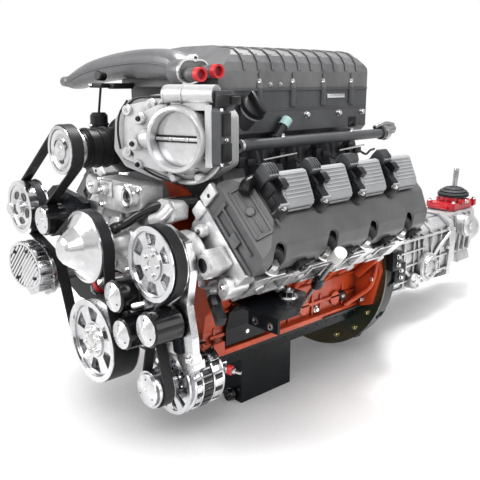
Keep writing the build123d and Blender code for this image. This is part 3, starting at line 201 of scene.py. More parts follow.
def newFinish(name, settings):
    material = bpy.data.materials.new(name)
    material.use_nodes = True
    graph = Graph(material.node_tree)
    shader = material.node_tree.nodes["Principled BSDF"]
    coords = graph.shader("TexCoord", output="Object")
    clouds = graph.shader("TexNoise", {"Vector": coords, "Scale": settings.get("clouds", 16.0), "Detail": 4.0,
        "Roughness": 0.6})
    grain = graph.shader("TexNoise", {"Vector": coords, "Scale": settings["castSize"], "Detail": 3.0,
        "Roughness": 0.55})
    mask = graph.shader("MapRange", {0: clouds * 0.7 + grain * 0.3, 1: 0.38, 2: 0.62})
    shader.inputs["Metallic"].default_value = settings.get("metallic", 0.0)
    shader.inputs["Coat Weight"].default_value = settings.get("coat", 0.0)
    shader.inputs["Coat Roughness"].default_value = 0.08
    shader.inputs["Specular IOR Level"].default_value = settings.get("specular", 0.5)
    colour = graph.mixColour(mask, rgb(*settings["shade"]), rgb(*settings["colour"]))
    if "grime" in settings:
        # painted shade: corners and gaps get a darker colour the more they are closed in
        openness = graph.node("ShaderNodeAmbientOcclusion", {"samples": 4}, {"Distance": settings["grime"]},
            output=1)
        unshaded = graph.shader("MapRange", {0: openness, 1: 0.25, 2: 0.85})
        dark = rgb(*[0.2 * value for value in settings["shade"]])
        colour = graph.mixColour(unshaded, dark, colour)
    graph.feed(shader.inputs["Base Color"], colour)
    rough = settings["roughness"]
    graph.feed(shader.inputs["Roughness"], (grain - 0.5) * (rough * 0.5) + rough
        + (0.5 - clouds) * (rough * 0.5))
    height = grain
    if "rings" in settings:
        x, z, pitch = settings["rings"]
        centre = fromEngine @ Vector((x, 0, z))
        parts = graph.shader("SeparateXYZ", {0: coords})
        parts = parts.socket.node.outputs
        dx = Wire(graph, parts[0]) - centre.x
        dz = Wire(graph, parts[2]) - centre.z
        radius = graph.maths("SQRT", dx * dx + dz * dz, 0)
        height = grain * 0.15 + graph.maths("SINE", radius * (ripple / pitch), 0) * 0.5
    if "ribs" in settings:
        parts = graph.shader("SeparateXYZ", {0: coords}, output=1)
        height = graph.maths("SINE", parts * (ripple / settings["ribs"]), 0)
    bump = graph.shader("Bump", {"Height": height, "Strength": min(1.0, settings["cast"]),
        "Distance": settings.get("depth", 0.0006)})
    graph.feed(shader.inputs["Normal"], bump)
    palette[name] = material
    return material


for finishName, finishSettings in finishes.items():
    newFinish(finishName, finishSettings)


def turnedFinish(name, x, z, pitch=1.6, base="polishedAluminium"):
    if name not in palette:
        settings = dict(finishes[base])
        settings.update({"rings": (x, z, pitch), "cast": 0.6, "depth": 0.00012, "roughness": 0.18})
        newFinish(name, settings)
    return name


print("finishes ready,", len(palette))

# Finish of each CAD node that stays as it is
nodesOf = {
    "blockPaint": ("engine_block",),
    "panPaint": ("oil_pan",),
    "castAluminium": ("cylinder_heads", "front_cover", "water_pump", "thermostat_housing",
        "power_steering_pump", "compressor_body",),
    "gasketGrey": ("head_gaskets",),
    "coverPaint": ("valve_covers",),
    "coilPlastic": ("ignition_coils",),
    "machinedSteel": ("pistons", "connecting_rods", "timing_chain", "alternator_stator", "dipstick_tube",
        "crankshaft", "flywheel", "camshaft", "drive_rotor", "driven_rotor", "shift_lever", "output_shaft",
        "main_bearing_caps",),
    "sheenAluminium": ("front_bracket_left", "crank_pulley", "supercharger_pulley", "guide_pulley",
        "compressor_pulley", "power_steering_pulley", "alternator_rotor",),
    "bracketPaint": ("front_bracket_right", "engine_mounts", "bellhousing", "tensioner_arm",),
    "chrome": ("alternator_case",),
    "housingPaint": ("supercharger_case", "throttle_cover", "fuel_rails",),
    "lidPaint": ("supercharger_lid",),
    "blackPlastic": ("supercharger_snout", "oil_filler_cap",),
    "bridgePaint": ("coolant_manifold",),
    "redPlastic": ("hose_plugs",),
    "elbowPaint": ("inlet_elbow",),
    "throttleAluminium": ("throttle_body",),
    "passivatedPlate": ("block_plate",),
    "gearboxAluminium": ("gearbox_case", "gearbox_tail",),
    "redPaint": ("shifter_base",),
    "bootRubber": ("shifter_boot",),
    "polishedAluminium": ("water_pump_pulley", "throttle_plate",),
    "rollerPlastic": ("smooth_idler", "twin_idler", "lower_idler", "tensioner_pulley",),
    "whitePlastic": ("dipstick",),
}
nodeFinish = {node: finish for finish, nodes in nodesOf.items() for node in nodes}
nodeFinish["water_pump_pulley"] = turnedFinish("pumpNose", -10, 197)
nodeFinish["power_steering_pulley"] = turnedFinish("steeringFace", 181.5, 196)
nodeFinish["guide_pulley"] = turnedFinish("guideFace", -254, 245)
nodeFinish["crank_pulley"] = turnedFinish("crankFace", 0, 0)
nodeFinish["supercharger_pulley"] = turnedFinish("driveFace", -80, 384)


def dressNode(name, finish):
    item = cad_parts[name]
    item.data.materials.clear()
    item.data.materials.append(palette[finish])


for nodeName, finish in nodeFinish.items():
    dressNode(nodeName, finish)


# Pieces made one by one: everything is drawn in engine millimetres and set down in metres at the end

class Piece:
    def __init__(self, name):
        self.name = name
        self.shape = bmesh.new()

    def moved(self, verts, matrix):
        if matrix is not None:
            bmesh.ops.transform(self.shape, matrix=matrix, verts=verts)
        return self

    def softened(self, made, edge, matrix):
        # rounds the edges of what was just made and sets it in its place
        edges = list({e for v in made for e in v.link_edges})
        made = bmesh.ops.bevel(self.shape, geom=edges, offset=edge, segments=2, affect="EDGES", profile=0.6,
            clamp_overlap=True)["verts"]
        made = list({v for face in {f for v in made for f in v.link_faces} for v in face.verts})
        return self.moved(made, matrix)

    def skinned(self, rings):
        # faces from each ring to the next, where a ring of one point closes to a tip
        for low, high in zip(rings[:-1], rings[1:]):
            for k in range(max(len(low), len(high))):
                after = k + 1
                corners = (low[k % len(low)], low[after % len(low)], high[after % len(high)],
                    high[k % len(high)])
                self.shape.faces.new(tuple(dict.fromkeys(corners)))
        return self

    def block(self, low, high, edge=1.0, matrix=None):
        size = Vector(high) - Vector(low)
        middle = (Vector(high) + Vector(low)) / 2
        made = bmesh.ops.create_cube(self.shape, size=1.0)["verts"]
        self.moved(made, shifted(middle) @ Matrix.Diagonal((*size, 1)))
        return self.softened(made, edge, matrix)

    def blocks(self, matrix, *rows):
        # each row has a block's two corners and the size of its rounded edges
        for row in rows:
            self.block(row[:3], row[3:6], row[6], matrix)
        return self

    def turned(self, profile, matrix=None, steps=40, closed=False):
        # a profile of radius and height about local z
        rings = []
        for radius, height in profile:
            angles = [tau * k / steps for k in range(steps if radius > 0 else 1)]
            rings.append([self.shape.verts.new((radius * cos(a), radius * sin(a), height)) for a in angles])
        self.skinned(rings + rings[:1] if closed else rings)
        return self.moved(sum(rings, []), matrix)

    def prism(self, outline, low, high, edge=1.0, matrix=None):
        # an outline in local x and y, carried along z
        lower = [self.shape.verts.new((x, y, low)) for x, y in outline]
        upper = [self.shape.verts.new((x, y, high)) for x, y in outline]
        return self.skinned([lower, upper]).capped([lower, upper]).softened(lower + upper, edge, matrix)

    def band(self, outer, inner, low, high, matrix=None):
        # a flat ring between two outlines of as many points
        rows = [[self.shape.verts.new((x, y, height)) for x, y in line] for line, height in ((outer, low),
            (outer, high), (inner, high), (inner, low))]
        return self.skinned(rows + rows[:1]).moved(sum(rows, []), matrix)

    def tube(self, points, radius, steps=16, smooth=8, place=Matrix()):
        # a round bar along a smoothed line
        line = smoothLine([place @ Vector(p) for p in points], smooth)
        previous = None
        rings = []
        for k, point in enumerate(line):
            ahead = line[min(k + 1, len(line) - 1)] - line[max(k - 1, 0)]
            ahead.normalize()
            if previous is None:
                side = ahead.orthogonal().normalized()
            else:
                side = (previous - ahead * previous.dot(ahead)).normalized()
            previous = side
            other = ahead.cross(side)
            rings.append([self.shape.verts.new(point + radius * (side * cos(tau * j / steps)
                + other * sin(tau * j / steps))) for j in range(steps)])
        return self.skinned(rings).capped(rings)

    def capped(self, rings):
        self.shape.faces.new(rings[0][::-1])
        self.shape.faces.new(rings[-1])
        return self

    def finish(self, finish, body="engine", slot=None, replaces=(), angle=35):
        bmesh.ops.recalc_face_normals(self.shape, faces=self.shape.faces)
        mesh = bpy.data.meshes.new(self.name)
        self.shape.to_mesh(mesh)
        self.shape.free()
        mesh.transform(fromEngine)
        return settle(self.name, mesh, finish, body, replaces, angle)


def settle(name, mesh, finish, body="engine", replaces=(), angle=35):
    mesh.materials.clear()
    mesh.materials.append(palette[finish])
    mesh.shade_smooth()
    mesh.set_sharp_from_angle(angle=radians(angle))
    item = linked(bpy.data.objects.new(name, mesh))
    if body:
        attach(item, body)
    if replaces:
        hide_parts(*replaces)
    return item


def smoothLine(points, steps):
    if len(points) < 3 or steps < 2:
        return points
    ends = [points[0] * 2 - points[1]] + points + [points[-1] * 2 - points[-2]]
    line = []
    for k in range(1, len(ends) - 2):
        a, b, c, d = ends[k - 1:k + 3]
        for j in range(steps):
            t = j / steps
            line.append(0.5 * ((2 * b) + (c - a) * t + (2 * a - 5 * b + 4 * c - d) * t * t
                + (3 * b - a - 3 * c + d) * t ** 3))
    line.append(points[-1])
    return line


def facing(origin, direction, turn=0.0):
    # a place whose local z points along direction
    turned = Vector(direction).to_track_quat("Z", "Y").to_matrix().to_4x4()
    return shifted(origin) @ turned @ Matrix.Rotation(turn, 4, "Z")


forward = (0, -1, 0)


def frontal(x, y, z):
    return facing((x, y, z), forward)


def placed(turn, point, direction):
    # a place on a bank, both given in the bank's own directions
    return facing(turn @ Vector(point), turn.to_3x3() @ Vector(direction))


sideways = Matrix(((0, 0, 1, 0), (1, 0, 0, 0), (0, 1, 0, 0),
    (0, 0, 0, 1)))  # an outline in y and z, carried along x
endways = Matrix(((1, 0, 0, 0), (0, 0, 1, 0), (0, 1, 0, 0),
    (0, 0, 0, 1)))  # an outline in x and z, carried along y


def disc(radius, top, foot):
    return [(0, top), (radius, top), (radius, foot), (0, foot)]


def boss(radius, top, rim, shoulder, foot):
    # a disc whose edge falls from the top to a wider rim
    return [(0, top), (radius, top), (rim, shoulder), (rim, foot), (0, foot)]


def hoop(inside, outside, low, high):
    return [(inside, low), (outside, low), (outside, high), (inside, high)]


def ovalLine(big, small, steps=16):
    # outline round two circles, each given by its centre and radius
    (x0, y0, r0), (x1, y1, r1) = big, small
    heading = atan2(y1 - y0, x1 - x0)
    spread = acos((r0 - r1) / hypot(x1 - x0, y1 - y0))
    line = []
    for k in range(steps + 1):
        angle = heading + spread + (tau - 2 * spread) * k / steps
        line.append((x0 + r0 * cos(angle), y0 + r0 * sin(angle)))
    for k in range(steps + 1):
        angle = heading - spread + 2 * spread * k / steps
        line.append((x1 + r1 * cos(angle), y1 + r1 * sin(angle)))
    return line


def roundedLine(points, steps=6):
    # a closed outline smoothed through its points
    flat = [Vector((x, y, 0)) for x, y in points]
    line = smoothLine(flat[-2:] + flat + flat[:2], steps)
    return [(p.x, p.y) for p in line[2 * steps:-steps - 1]]


# Bolts: one tree sets a headed bolt on each point, along the point's own direction

boltKinds = {
    "coverBolt": {"Head Radius": 8.0, "Head Height": 9.0, "Washer Radius": 12.0, "Washer Height": 2.5,
        "Head Sides": 6},
    "capScrew": {"Head Radius": 6.0, "Head Height": 7.0, "Washer Radius": 7.5, "Washer Height": 1.2,
        "Head Sides": 20},
    "smallScrew": {"Head Radius": 4.0, "Head Height": 4.0, "Washer Radius": 5.2, "Washer Height": 1.0,
        "Head Sides": 6},
    "tinyScrew": {"Head Radius": 2.2, "Head Height": 1.6, "Washer Radius": 2.6, "Washer Height": 0.5,
        "Head Sides": 16},
    "mountNut": {"Head Radius": 12.0, "Head Height": 11.0, "Washer Radius": 19.0, "Washer Height": 3.5,
        "Head Sides": 6},
}


def boltTree():
    tree = bpy.data.node_groups.new("boltField", "GeometryNodeTree")
    face = tree.interface
    face.new_socket("Geometry", in_out="INPUT", socket_type="NodeSocketGeometry")
    for label in ("Head Radius", "Head Height", "Washer Radius", "Washer Height"):
        face.new_socket(label, in_out="INPUT", socket_type="NodeSocketFloat")
    face.new_socket("Head Sides", in_out="INPUT", socket_type="NodeSocketInt")
    face.new_socket("Material", in_out="INPUT", socket_type="NodeSocketMaterial")
    face.new_socket("Geometry", in_out="OUTPUT", socket_type="NodeSocketGeometry")
    graph = Graph(tree)
    given = tree.nodes.new("NodeGroupInput").outputs
    value = {socket.name: Wire(graph, socket) for socket in given if socket.name}
    sides, radius, height = value["Head Sides"], value["Head Radius"], value["Head Height"]
    washerHeight = value["Washer Height"]
    body = graph.node("GeometryNodeMeshCone", None, {"Vertices": sides, "Radius Top": radius,
        "Radius Bottom": radius, "Depth": height * 0.75})
    lift = graph.shader("CombineXYZ", {2: washerHeight})
    body = graph.node("GeometryNodeTransform", None, {"Geometry": body, "Translation": lift})
    crown = graph.node("GeometryNodeMeshCone", None, {"Vertices": sides, "Radius Top": radius * 0.8,
        "Radius Bottom": radius, "Depth": height * 0.25})
    lift = graph.shader("CombineXYZ", {2: washerHeight + height * 0.75})
    crown = graph.node("GeometryNodeTransform", None, {"Geometry": crown, "Translation": lift})
    washer = graph.node("GeometryNodeMeshCone", None,
        {"Vertices": 24, "Radius Top": value["Washer Radius"] * 0.94, "Radius Bottom": value["Washer Radius"],
        "Depth": washerHeight})
    join = tree.nodes.new("GeometryNodeJoinGeometry")
    for part in (body, crown, washer):
        tree.links.new(part.socket, join.inputs[0])
    along = graph.node("GeometryNodeInputNamedAttribute", {"data_type": "FLOAT_VECTOR"}, {"Name": "along"})
    turned = graph.node("FunctionNodeAlignRotationToVector", {"axis": "Z"}, {"Vector": along})
    placed = graph.node("GeometryNodeInstanceOnPoints", None, {"Points": value["Geometry"],
        "Instance": Wire(graph, join.outputs[0]), "Rotation": turned})
    solid = graph.node("GeometryNodeRealizeInstances", None, {"Geometry": placed})
    done = graph.node("GeometryNodeSetMaterial", None, {"Geometry": solid, "Material": value["Material"]})
    out = tree.nodes.new("NodeGroupOutput")
    tree.links.new(done.socket, out.inputs[0])
    return tree


def runTree(tree, mesh, values):
    # evaluates a tree on a mesh and gives back the plain result
    carrier = linked(bpy.data.objects.new("carrier", mesh))
    modifier = carrier.modifiers.new("build", "NODES")
    modifier.node_group = tree
    for socket in tree.interface.items_tree:
        if socket.in_out == "INPUT" and socket.name in values:
            modifier[socket.identifier] = values[socket.name]
    bpy.context.view_layer.update()
    result = bpy.data.meshes.new_from_object(carrier.evaluated_get(bpy.context.evaluated_depsgraph_get()))
    carrier.modifiers.clear()
    bpy.data.objects.remove(carrier)
    return result


boltGraph = boltTree()


def aimed(direction, *points):
    return [(point, direction) for point in points]


def bolts(name, kind, places, finish="boltSteel", body="engine", scale=1.0):
    # places: list of point and direction, in engine millimetres
    points = bpy.data.meshes.new(name + "Points")
    points.from_pydata([tuple(p) for p, d in places], [], [])
    along = points.attributes.new("along", "FLOAT_VECTOR", "POINT")
    for k, (p, d) in enumerate(places):
        along.data[k].vector = Vector(d).normalized()
    values = {key: (v * scale if key != "Head Sides" else v) for key, v in boltKinds[kind].items()}
    values["Material"] = palette[finish]
    mesh = runTree(boltGraph, points, values)
    mesh.transform(fromEngine)
    return settle(name, mesh, finish, body, angle=25)


# Belts: a ribbed section swept round each loop of wheels

belts = {
    "supercharger_belt": {"low": -687.0, "high": -663.0, "wheels": [(0, 0, 84, 1), (-172, 108, 40, -1),
        (-254, 245, 56, 1), (-80, 384, 47, 1), (-150, 231, 32, -1), (-10, 197, 70, 1),
        (96, 119.5, 32.6, -1)]},
    "accessory_belt": {"low": -654.0, "high": -631.0, "wheels": [(181.5, 196, 68, 1), (203, 82, 33, -1),
        (167, -56, 35, 1), (119.5, 49.5, 31.4, -1), (0, 0, 84, 1), (96, 119.5, 32.6, -1)]},
}
beltShape = {"thick": 4.0, "gap": 0.3, "ribs": 7, "ribDepth": 1.5}


def loopLine(wheels, middle):
    # the middle line of a belt that runs clockwise round its wheels
    reach = [(x, z, (r + middle) * side) for x, z, r, side in wheels]
    count = len(reach)
    runs = []
    for k in range(count):
        x0, z0, r0 = reach[k]
        x1, z1, r1 = reach[(k + 1) % count]
        heading = atan2(z1 - z0, x1 - x0)
        normal = heading - acos((r1 - r0) / hypot(x1 - x0, z1 - z0))
        nx, nz = cos(normal), sin(normal)
        runs.append(((x0 - r0 * nx, z0 - r0 * nz), (x1 - r1 * nx, z1 - r1 * nz)))
    line = []
    for k in range(count):
        start, end = runs[k]
        for j in range(6):
            line.append((start[0] + (end[0] - start[0]) * j / 6, start[1] + (end[1] - start[1]) * j / 6))
        x, z, radius = reach[(k + 1) % count]
        leave = runs[(k + 1) % count][0]
        first = atan2(end[1] - z, end[0] - x)
        last = atan2(leave[1] - z, leave[0] - x)
        sweep = -((first - last) % tau) if radius > 0 else (last - first) % tau
        steps = max(3, int(abs(sweep) / 0.09))
        for j in range(steps):
            angle = first + sweep * j / steps
            line.append((x + abs(radius) * cos(angle), z + abs(radius) * sin(angle)))
    return line


def beltSection(low, high):
    # offset from the middle line (positive outwards) and Y, ribbed on the inside
    outer = beltShape["thick"] / 2
    points = [(outer, low), (outer, high)]
    count = beltShape["ribs"]
    pitch = (high - low) / count
    for k in range(count):
        top = high - pitch * k
        points.append((-outer + beltShape["ribDepth"], top))
        points.append((-outer, top - pitch * 0.35))
        points.append((-outer, top - pitch * 0.65))
    points.append((-outer + beltShape["ribDepth"], low))
    return points


for beltName, belt in belts.items():
    piece = Piece(beltName + "Ribbed")
    line = loopLine(belt["wheels"], beltShape["gap"] + beltShape["thick"] / 2)
    section = beltSection(belt["low"], belt["high"])
    rings = []
    count = len(line)
    for k in range(count):
        before = Vector(line[k - 1])
        after = Vector(line[(k + 1) % count])
        along = (after - before).normalized()
        outward = Vector((-along.y, along.x))
        here = Vector(line[k])
        rings.append([piece.shape.verts.new((here.x + outward.x * a, y, here.y + outward.y * a))
            for a, y in section])
    piece.skinned(rings + rings[:1])
    piece.finish("beltBack", replaces=(beltName,), angle=30)
Piece("crankGrooves").turned(hoop(83, 84.25, 1, 20), frontal(0, -665, 0), steps=96,
    closed=True).finish("bareGrooves", "crank")
Piece("crankBand").turned([(84, 0), (88.2, 0.3), (88.2, 8.7), (84, 9)], frontal(0, -654, 0), steps=96,
    closed=True).finish("beltBack", "crank")
Piece("guideGrooves").turned(hoop(55, 56.25, 1, 20), frontal(-254, -665, 245), steps=72,
    closed=True).finish("darkGrooves", "guide_pulley")
print("belts ready")

# Idler faces: a bright cone with three small holes

idlers = {
    "twin": {"centre": (96, 119.5), "radius": 29.0, "front": -690.0, "body": "twin_idler", "rise": 9.0},
    "lower": {"centre": (119.5, 49.5), "radius": 28.0, "front": -690.0, "body": "lower_idler", "rise": 9.0},
    "tensioner": {"centre": (203, 82), "radius": 29.5, "front": -690.0, "body": "tensioner_pulley",
        "rise": 9.0},
    "smooth": {"centre": (-150, 231), "radius": 29.0, "front": -705.0, "body": "smooth_idler", "rise": 3.0},
    "alternator": {"centre": (167, -56), "radius": 32.0, "front": -668.0, "body": "alternator_rotor",
        "rise": 7.0},
}
for label, idler in idlers.items():
    x, z = idler["centre"]
    radius, rise = idler["radius"], idler["rise"]
    place = frontal(x, idler["front"], z)
    profile = [(0, rise), (4, rise), (5, rise - 1), (radius - 2, 2.0), (radius, 1.2), (radius, 0), (0, 0)]
    Piece(label + "Cone").turned(profile, place, steps=56).finish(turnedFinish(label + "Face", x, z, 1.2),
        idler["body"], "polished_aluminium", angle=20)
    spots = []
    for k in range(3):
        angle = radians(90 + 120 * k)
        spots.append(((x + radius * 0.72 * cos(angle), idler["front"] - rise * 0.35, z
            + radius * 0.72 * sin(angle)), forward))
    bolts(label + "Dots", "tinyScrew", spots, "windingPack", idler["body"], 0.7)
print("idlers ready")

# Supercharger: lid and case bolts, badge plate, stubs, actuator

columnY = [-356.7 + 99.7 * i for i in range(4)]
lidBolts = [((side * 149, y, 516), (0, 0, 1)) for y in columnY for side in (-1, 1)]
bolts("lidBolts", "capScrew", lidBolts, scale=0.9)
caseBolts = [((side * 150, y, 447), (side, 0, 0)) for y in (-435, -212, -101, -14) for side in (-1, 1)]
bolts("caseBolts", "capScrew", caseBolts)
bolts("lidScrews", "smallScrew", aimed((1, 0, 0), (150, -326, 512), (150, -296, 512)))
Piece("seamRail").block((149, -460, 499), (153, 2, 504), 0.8).block((-153, -460, 499), (-149, 2, 504), 0.8) \
    .block((149, -466, 458), (151.5, 2, 461), 0.5).block((-151.5, -466, 458), (-149, 2, 461), 0.5) \
    .finish("housingPaint")
Piece("bareBadge").block((150, -144, 481), (152.6, -82, 490), 0.8).finish("sheenAluminium",
    slot="polished_aluminium")
Piece("caseWindow").block((149.5, -62, 412), (151.4, -34, 436), 0.8).finish("rollerPlastic")

arches = Piece("runnerArches")
for side in (-1, 1):
    for y in boreY:
        yy = y + stagger[side]
        outline = [(yy - 26, 300), (yy - 24, 380), (yy - 12, 400), (yy + 12, 400), (yy + 24, 380),
            (yy + 26, 300)]
        arches.prism(outline, 148, 160, 3.0, Matrix.Diagonal((side, 1, 1, 1)) @ sideways)
arches.finish("housingPaint")

stubs = {"ends": ((169, -524, 531), (174, -486, 537)), "face": 124.0, "edge": 3.0, "big": (-520, 536, 24),
    "small": (-488, 540, 19)}
for k, tip in enumerate(stubs["ends"]):
    place = facing(tip, (1, 0, 0))
    # the darker red disc inside each stub is painted shade in the red plug's bore
    Piece("stubBore%d" % k).turned(disc(9.3, -7.2, -8.2), place).finish("redPaintedShade")
    Piece("stubBead%d" % k).turned([(11, -20), (12.6, -19), (12.6, -17), (11, -16)], place, closed=True) \
        .turned([(11, -33), (12.4, -32), (12.4, -24), (11, -23)], place, closed=True).finish("bridgePaint")
bridge = {"top": ((-332, 532), (-250, 560), (-140, 577), (-32, 583), (60, 578), (100, 558)),
    "bottom": ((-332, 498), (-270, 508), (-180, 518), (-60, 523), (60, 521), (100, 515)), "front": -534.0,
    "rear": -468.3, "corner": 2.7, "steps": 32}


def heightAt(points, x):
    # height of a smoothed edge at x
    line = smoothLine([Vector((px, 0, pz)) for px, pz in points], 8)
    for a, b in zip(line[:-1], line[1:]):
        if a.x <= x <= b.x:
            return a.z + (b.z - a.z) * (x - a.x) / (b.x - a.x)
    return line[-1].z


duct = Piece("bridgeDuct")
middleY = (bridge["front"] + bridge["rear"]) / 2
halfY = (bridge["rear"] - bridge["front"]) / 2
rings = []
stations = [(-332, 0.78), (-330, 0.9), (-326, 1.0)] + [(-300 + 25 * k, 1.0) for k in range(16)] + [(96, 1.0),
    (99, 0.93), (100, 0.8)]
for x, share in stations:
    high, low = heightAt(bridge["top"], x), heightAt(bridge["bottom"], x)
    ring = []
    for k in range(bridge["steps"]):
        angle = tau * k / bridge["steps"]
        c, s = cos(angle), sin(angle)
        power = 2 / bridge["corner"]
        y = middleY + share * halfY * copysign(abs(c) ** power, c)
        z = (high + low) / 2 + share * (high - low) / 2 * copysign(abs(s) ** power, s)
        ring.append(duct.shape.verts.new((x, y, z)))
    rings.append(ring)
duct.skinned(rings).capped(rings)
duct.block((-140, -500, 506), (100, -468.3, 540), 5)
duct.turned([(0, 0), (10, 0), (12, 2), (12, 18), (13.2, 20), (13.2, 24), (12, 26), (12, 66), (15, 67),
    (15, 72), (0, 72)], facing((-400, -500, 516), (1, 0, 0)))
duct.prism(ovalLine(stubs["big"], stubs["small"]), 84, 124, 2, sideways)
for x, y, z in stubs["ends"]:
    duct.turned(disc(11.5, 0, x - 106), facing((94, y, z), (1, 0, 0)))
duct.finish("bridgePaint", replaces=("coolant_manifold",), angle=40)
Piece("ductSeam").tube([(x, -534.6, z) for x, z in ((-322, 514), (-250, 534), (-140, 549), (-32, 554),
    (60, 550), (96, 538))], 1.3, steps=8).finish("bridgePaint")
edge = stubs["edge"]
outer = ovalLine(*[(y, z, r + 0.6) for y, z, r in (stubs["big"], stubs["small"])])
inner = ovalLine(*[(y, z, r - edge) for y, z, r in (stubs["big"], stubs["small"])])
Piece("stubFlange").band(outer, inner, stubs["face"] - 5, stubs["face"] + 1.2,
    sideways).finish("sheenAluminium")
bossAt = facing((108, -503, 561), (1, 0, 0))
Piece("stubBoss").turned([(0, 0), (7.5, 0), (7.5, 17), (6.5, 18), (4, 18), (4, 14), (0, 14)], bossAt,
    steps=24).block((-6, -8, 0), (6, 8, 12), 2, shifted((108, -503, 553))).finish("castAluminium")
# the black disc in the boss is painted shade inside its bore
Piece("stubBossBore").turned(disc(3.9, 14.6, 13.6), bossAt, steps=16).finish("rollerPlastic")

actuator = Piece("bypassActuator")
actuator.turned([(0, 0), (17, 0), (19, 3), (19, 20), (21, 21), (21, 25), (19, 26), (19, 42), (14, 48),
    (0, 48)], shifted((-141, -560, 404)))
actuator.tube([(-141, -560, 448), (-128, -560, 504)], 2.6)
actuator.blocks(None, (-152, -566, 392, -116, -548, 406, 2), (-160, -570, 504, -110, -545, 514, 3),
    (-114, -552, 502, -90, -500, 514, 3))
actuator.turned([(0, 0), (8, 0), (10, 2), (10, 20), (8, 22), (0, 22)],
    facing((-112, -560, 528), (0.3, -0.9, 0.1)))
actuator.finish("blackPlastic")
bolts("actuatorBolts", "smallScrew", aimed(forward, (-141, -580, 424), (-150, -571, 509)))

snoutRings = Piece("snoutRings")
for y, radius in ((-640, 36), (-628, 42), (-606, 42), (-586, 43)):
    snoutRings.turned([(radius - 4, 0), (radius, 0.8), (radius, 5.2), (radius - 4, 6)], frontal(-80, y, 384),
        steps=48, closed=True)
snoutRings.finish("blackPlastic")
Piece("snoutCollar").turned([(30, 0), (34, 1), (34, 9), (30, 10)], frontal(-80, -642, 384), closed=True) \
    .finish("sheenAluminium")

# Throttle body: the machined lip, motor end, screws and the butterfly's shaft

throttlePlace = shifted((191, -610, 417.5)) @ spun(20, "Z")


def throttleAt(x, y, z):
    return throttlePlace @ Vector((x, y, z))


leftward, inward, rightward = (throttlePlace.to_3x3() @ Vector(d) for d in ((-1, 0, 0), (0, 1, 0), (1, 0, 0)))
barrelPlace = throttlePlace @ spun(-90, "X")
lip = Piece("throttleLip")
lip.turned([(50.1, 0), (50.1, -20), (50.4, -20), (50.6, -0.4), (57, -0.6), (57.9, -1.4), (57.9, -4),
    (58.2, -5), (58.2, -7), (57.6, -7.6), (57.6, 0.4), (56.8, 0.9), (50.8, 0.9)], throttlePlace
    @ spun(90, "X"), steps=72, closed=True)
lip.finish("sheenAluminium")
Piece("motorEnd").turned(boss(15, 0, 17, 1.5, 5),
    facing(throttleAt(-26, 28, 78), leftward)) \
    .turned([(18.3, 0), (19.6, 0.6), (19.6, 4.4), (18.3, 5)],
    facing(throttleAt(12, 28, 78), leftward), closed=True) \
    .finish("throttleAluminium")
bolts("throttleBolts", "capScrew", [(throttleAt(x, 45, z), -inward) for x, z in ((-130, 48), (-132, -30),
    (-75, 58), (-111, -21), (-30, -66), (52, 52))], scale=0.85)
barrel = Piece("throttleBarrel")
barrel.turned([(57.2, 0), (60, 4), (62, 16), (66, 28), (72, 40), (76, 45.5), (57.2, 45.5)], barrelPlace,
    steps=72, closed=True)
barrel.turned([(76, 45), (79, 42), (83, 41), (86, 44), (86, 46), (76, 46)], barrelPlace, steps=72,
    closed=True)
barrel.finish("throttleAluminium")
bosses = Piece("throttleBosses")
for x, z, r, front in ((-88, 34, 11, 18), (-98, -12, 13, 10), (-96, -52, 9, 22), (-20, -72, 8, 24),
        (34, -68, 8, 24)):
    bosses.turned([(r + 2, 0), (r, 6), (r, 42 - front), (r - 2, 45 - front), (0, 45 - front)],
        facing(throttleAt(x, 46, z), -inward), steps=28)
for x, z, r in ((-75, 58, 11), (-111, -21, 12), (-130, 48, 9), (-132, -30, 9), (-30, -66, 9), (52, 52, 9)):
    bosses.turned([(r + 1.5, 0), (r, 7), (0, 7)], facing(throttleAt(x, 46, z), -inward))
bosses.turned([(20, 0), (17, 20), (13, 26), (0, 26)], facing(throttleAt(-60, 26, -2), leftward))
for k in range(9):
    angle = radians(150 + 26 * k)
    bosses.block((-2, 0, 0), (2, 30, 3), 1.0, throttlePlace @ shifted((62 * cos(angle), 14, 62 * sin(angle)))
        @ Matrix.Rotation(-angle + pi / 2, 4, "Y"))
bosses.finish("throttleAluminium")
bolts("bossScrews", "smallScrew", [(throttleAt(x, front, z), -inward) for x, z, front in ((-88, 34, 19),
    (-98, -12, 11), (-96, -52, 23))], "windingPack")
Piece("butterflyShaft").tube([(-49, 22, 0), (49, 22, 0)], 4.4, place=throttlePlace).finish("sheenAluminium",
    "throttle_plate")
Piece("shaftEdges").tube([(-49, 20, 5.2), (49, 20, 5.2)], 1.1, place=throttlePlace).tube([(-49, 20, -5.2),
    (49, 20, -5.2)], 1.1, place=throttlePlace).finish("rollerPlastic", "throttle_plate")
bolts("shaftScrews", "tinyScrew", [(throttleAt(x, 18, 0), -inward) for x in (-18, 18)], "boltSteel",
    "throttle_plate", 1.6)
outline = [(-152, -45), (-137, 58), (-66, 73), (46, 69), (62, 42), (62, -47), (15, -75), (-40, -78),
    (-152, -45)]
# a black tube round the flange's edge is painted shadow in the groove between flange and elbow
Piece("flangeShadowLine").tube([(x, 57.4, z) for x, z in outline], 2.4, smooth=4,
    place=throttlePlace).finish("rollerPlastic")
Piece("throttleLead").tube([(-128, 42, 66), (-146, 40, 40), (-150, 38, 6), (-147, 40, -26)], 2.2,
    place=throttlePlace).tube([(-120, 40, -34), (-96, 40, -60), (-60, 42, -76), (-20, 42, -84)], 2.2,
    place=throttlePlace).finish("hoseRubber")
gear = Piece("gearCoverPlugs")
gear.blocks(throttlePlace, (90, 12, -36, 97, 42, -4, 2), (90, 14, 8, 96, 40, 46, 2),
    (84, 8, 60, 110, 32, 80, 2), (104, 12, 63, 122, 28, 77, 2))
gear.finish("blackPlastic")
bolts("gearCoverScrews", "smallScrew", [(throttleAt(92, y, z), rightward) for y, z in ((12, -40), (42, -38),
    (12, 54), (42, 52), (28, 2))], scale=0.8)
print("supercharger and throttle ready")

# Rocker covers: bolts in the scallops, clips on the rail, end frame, bolt funnels

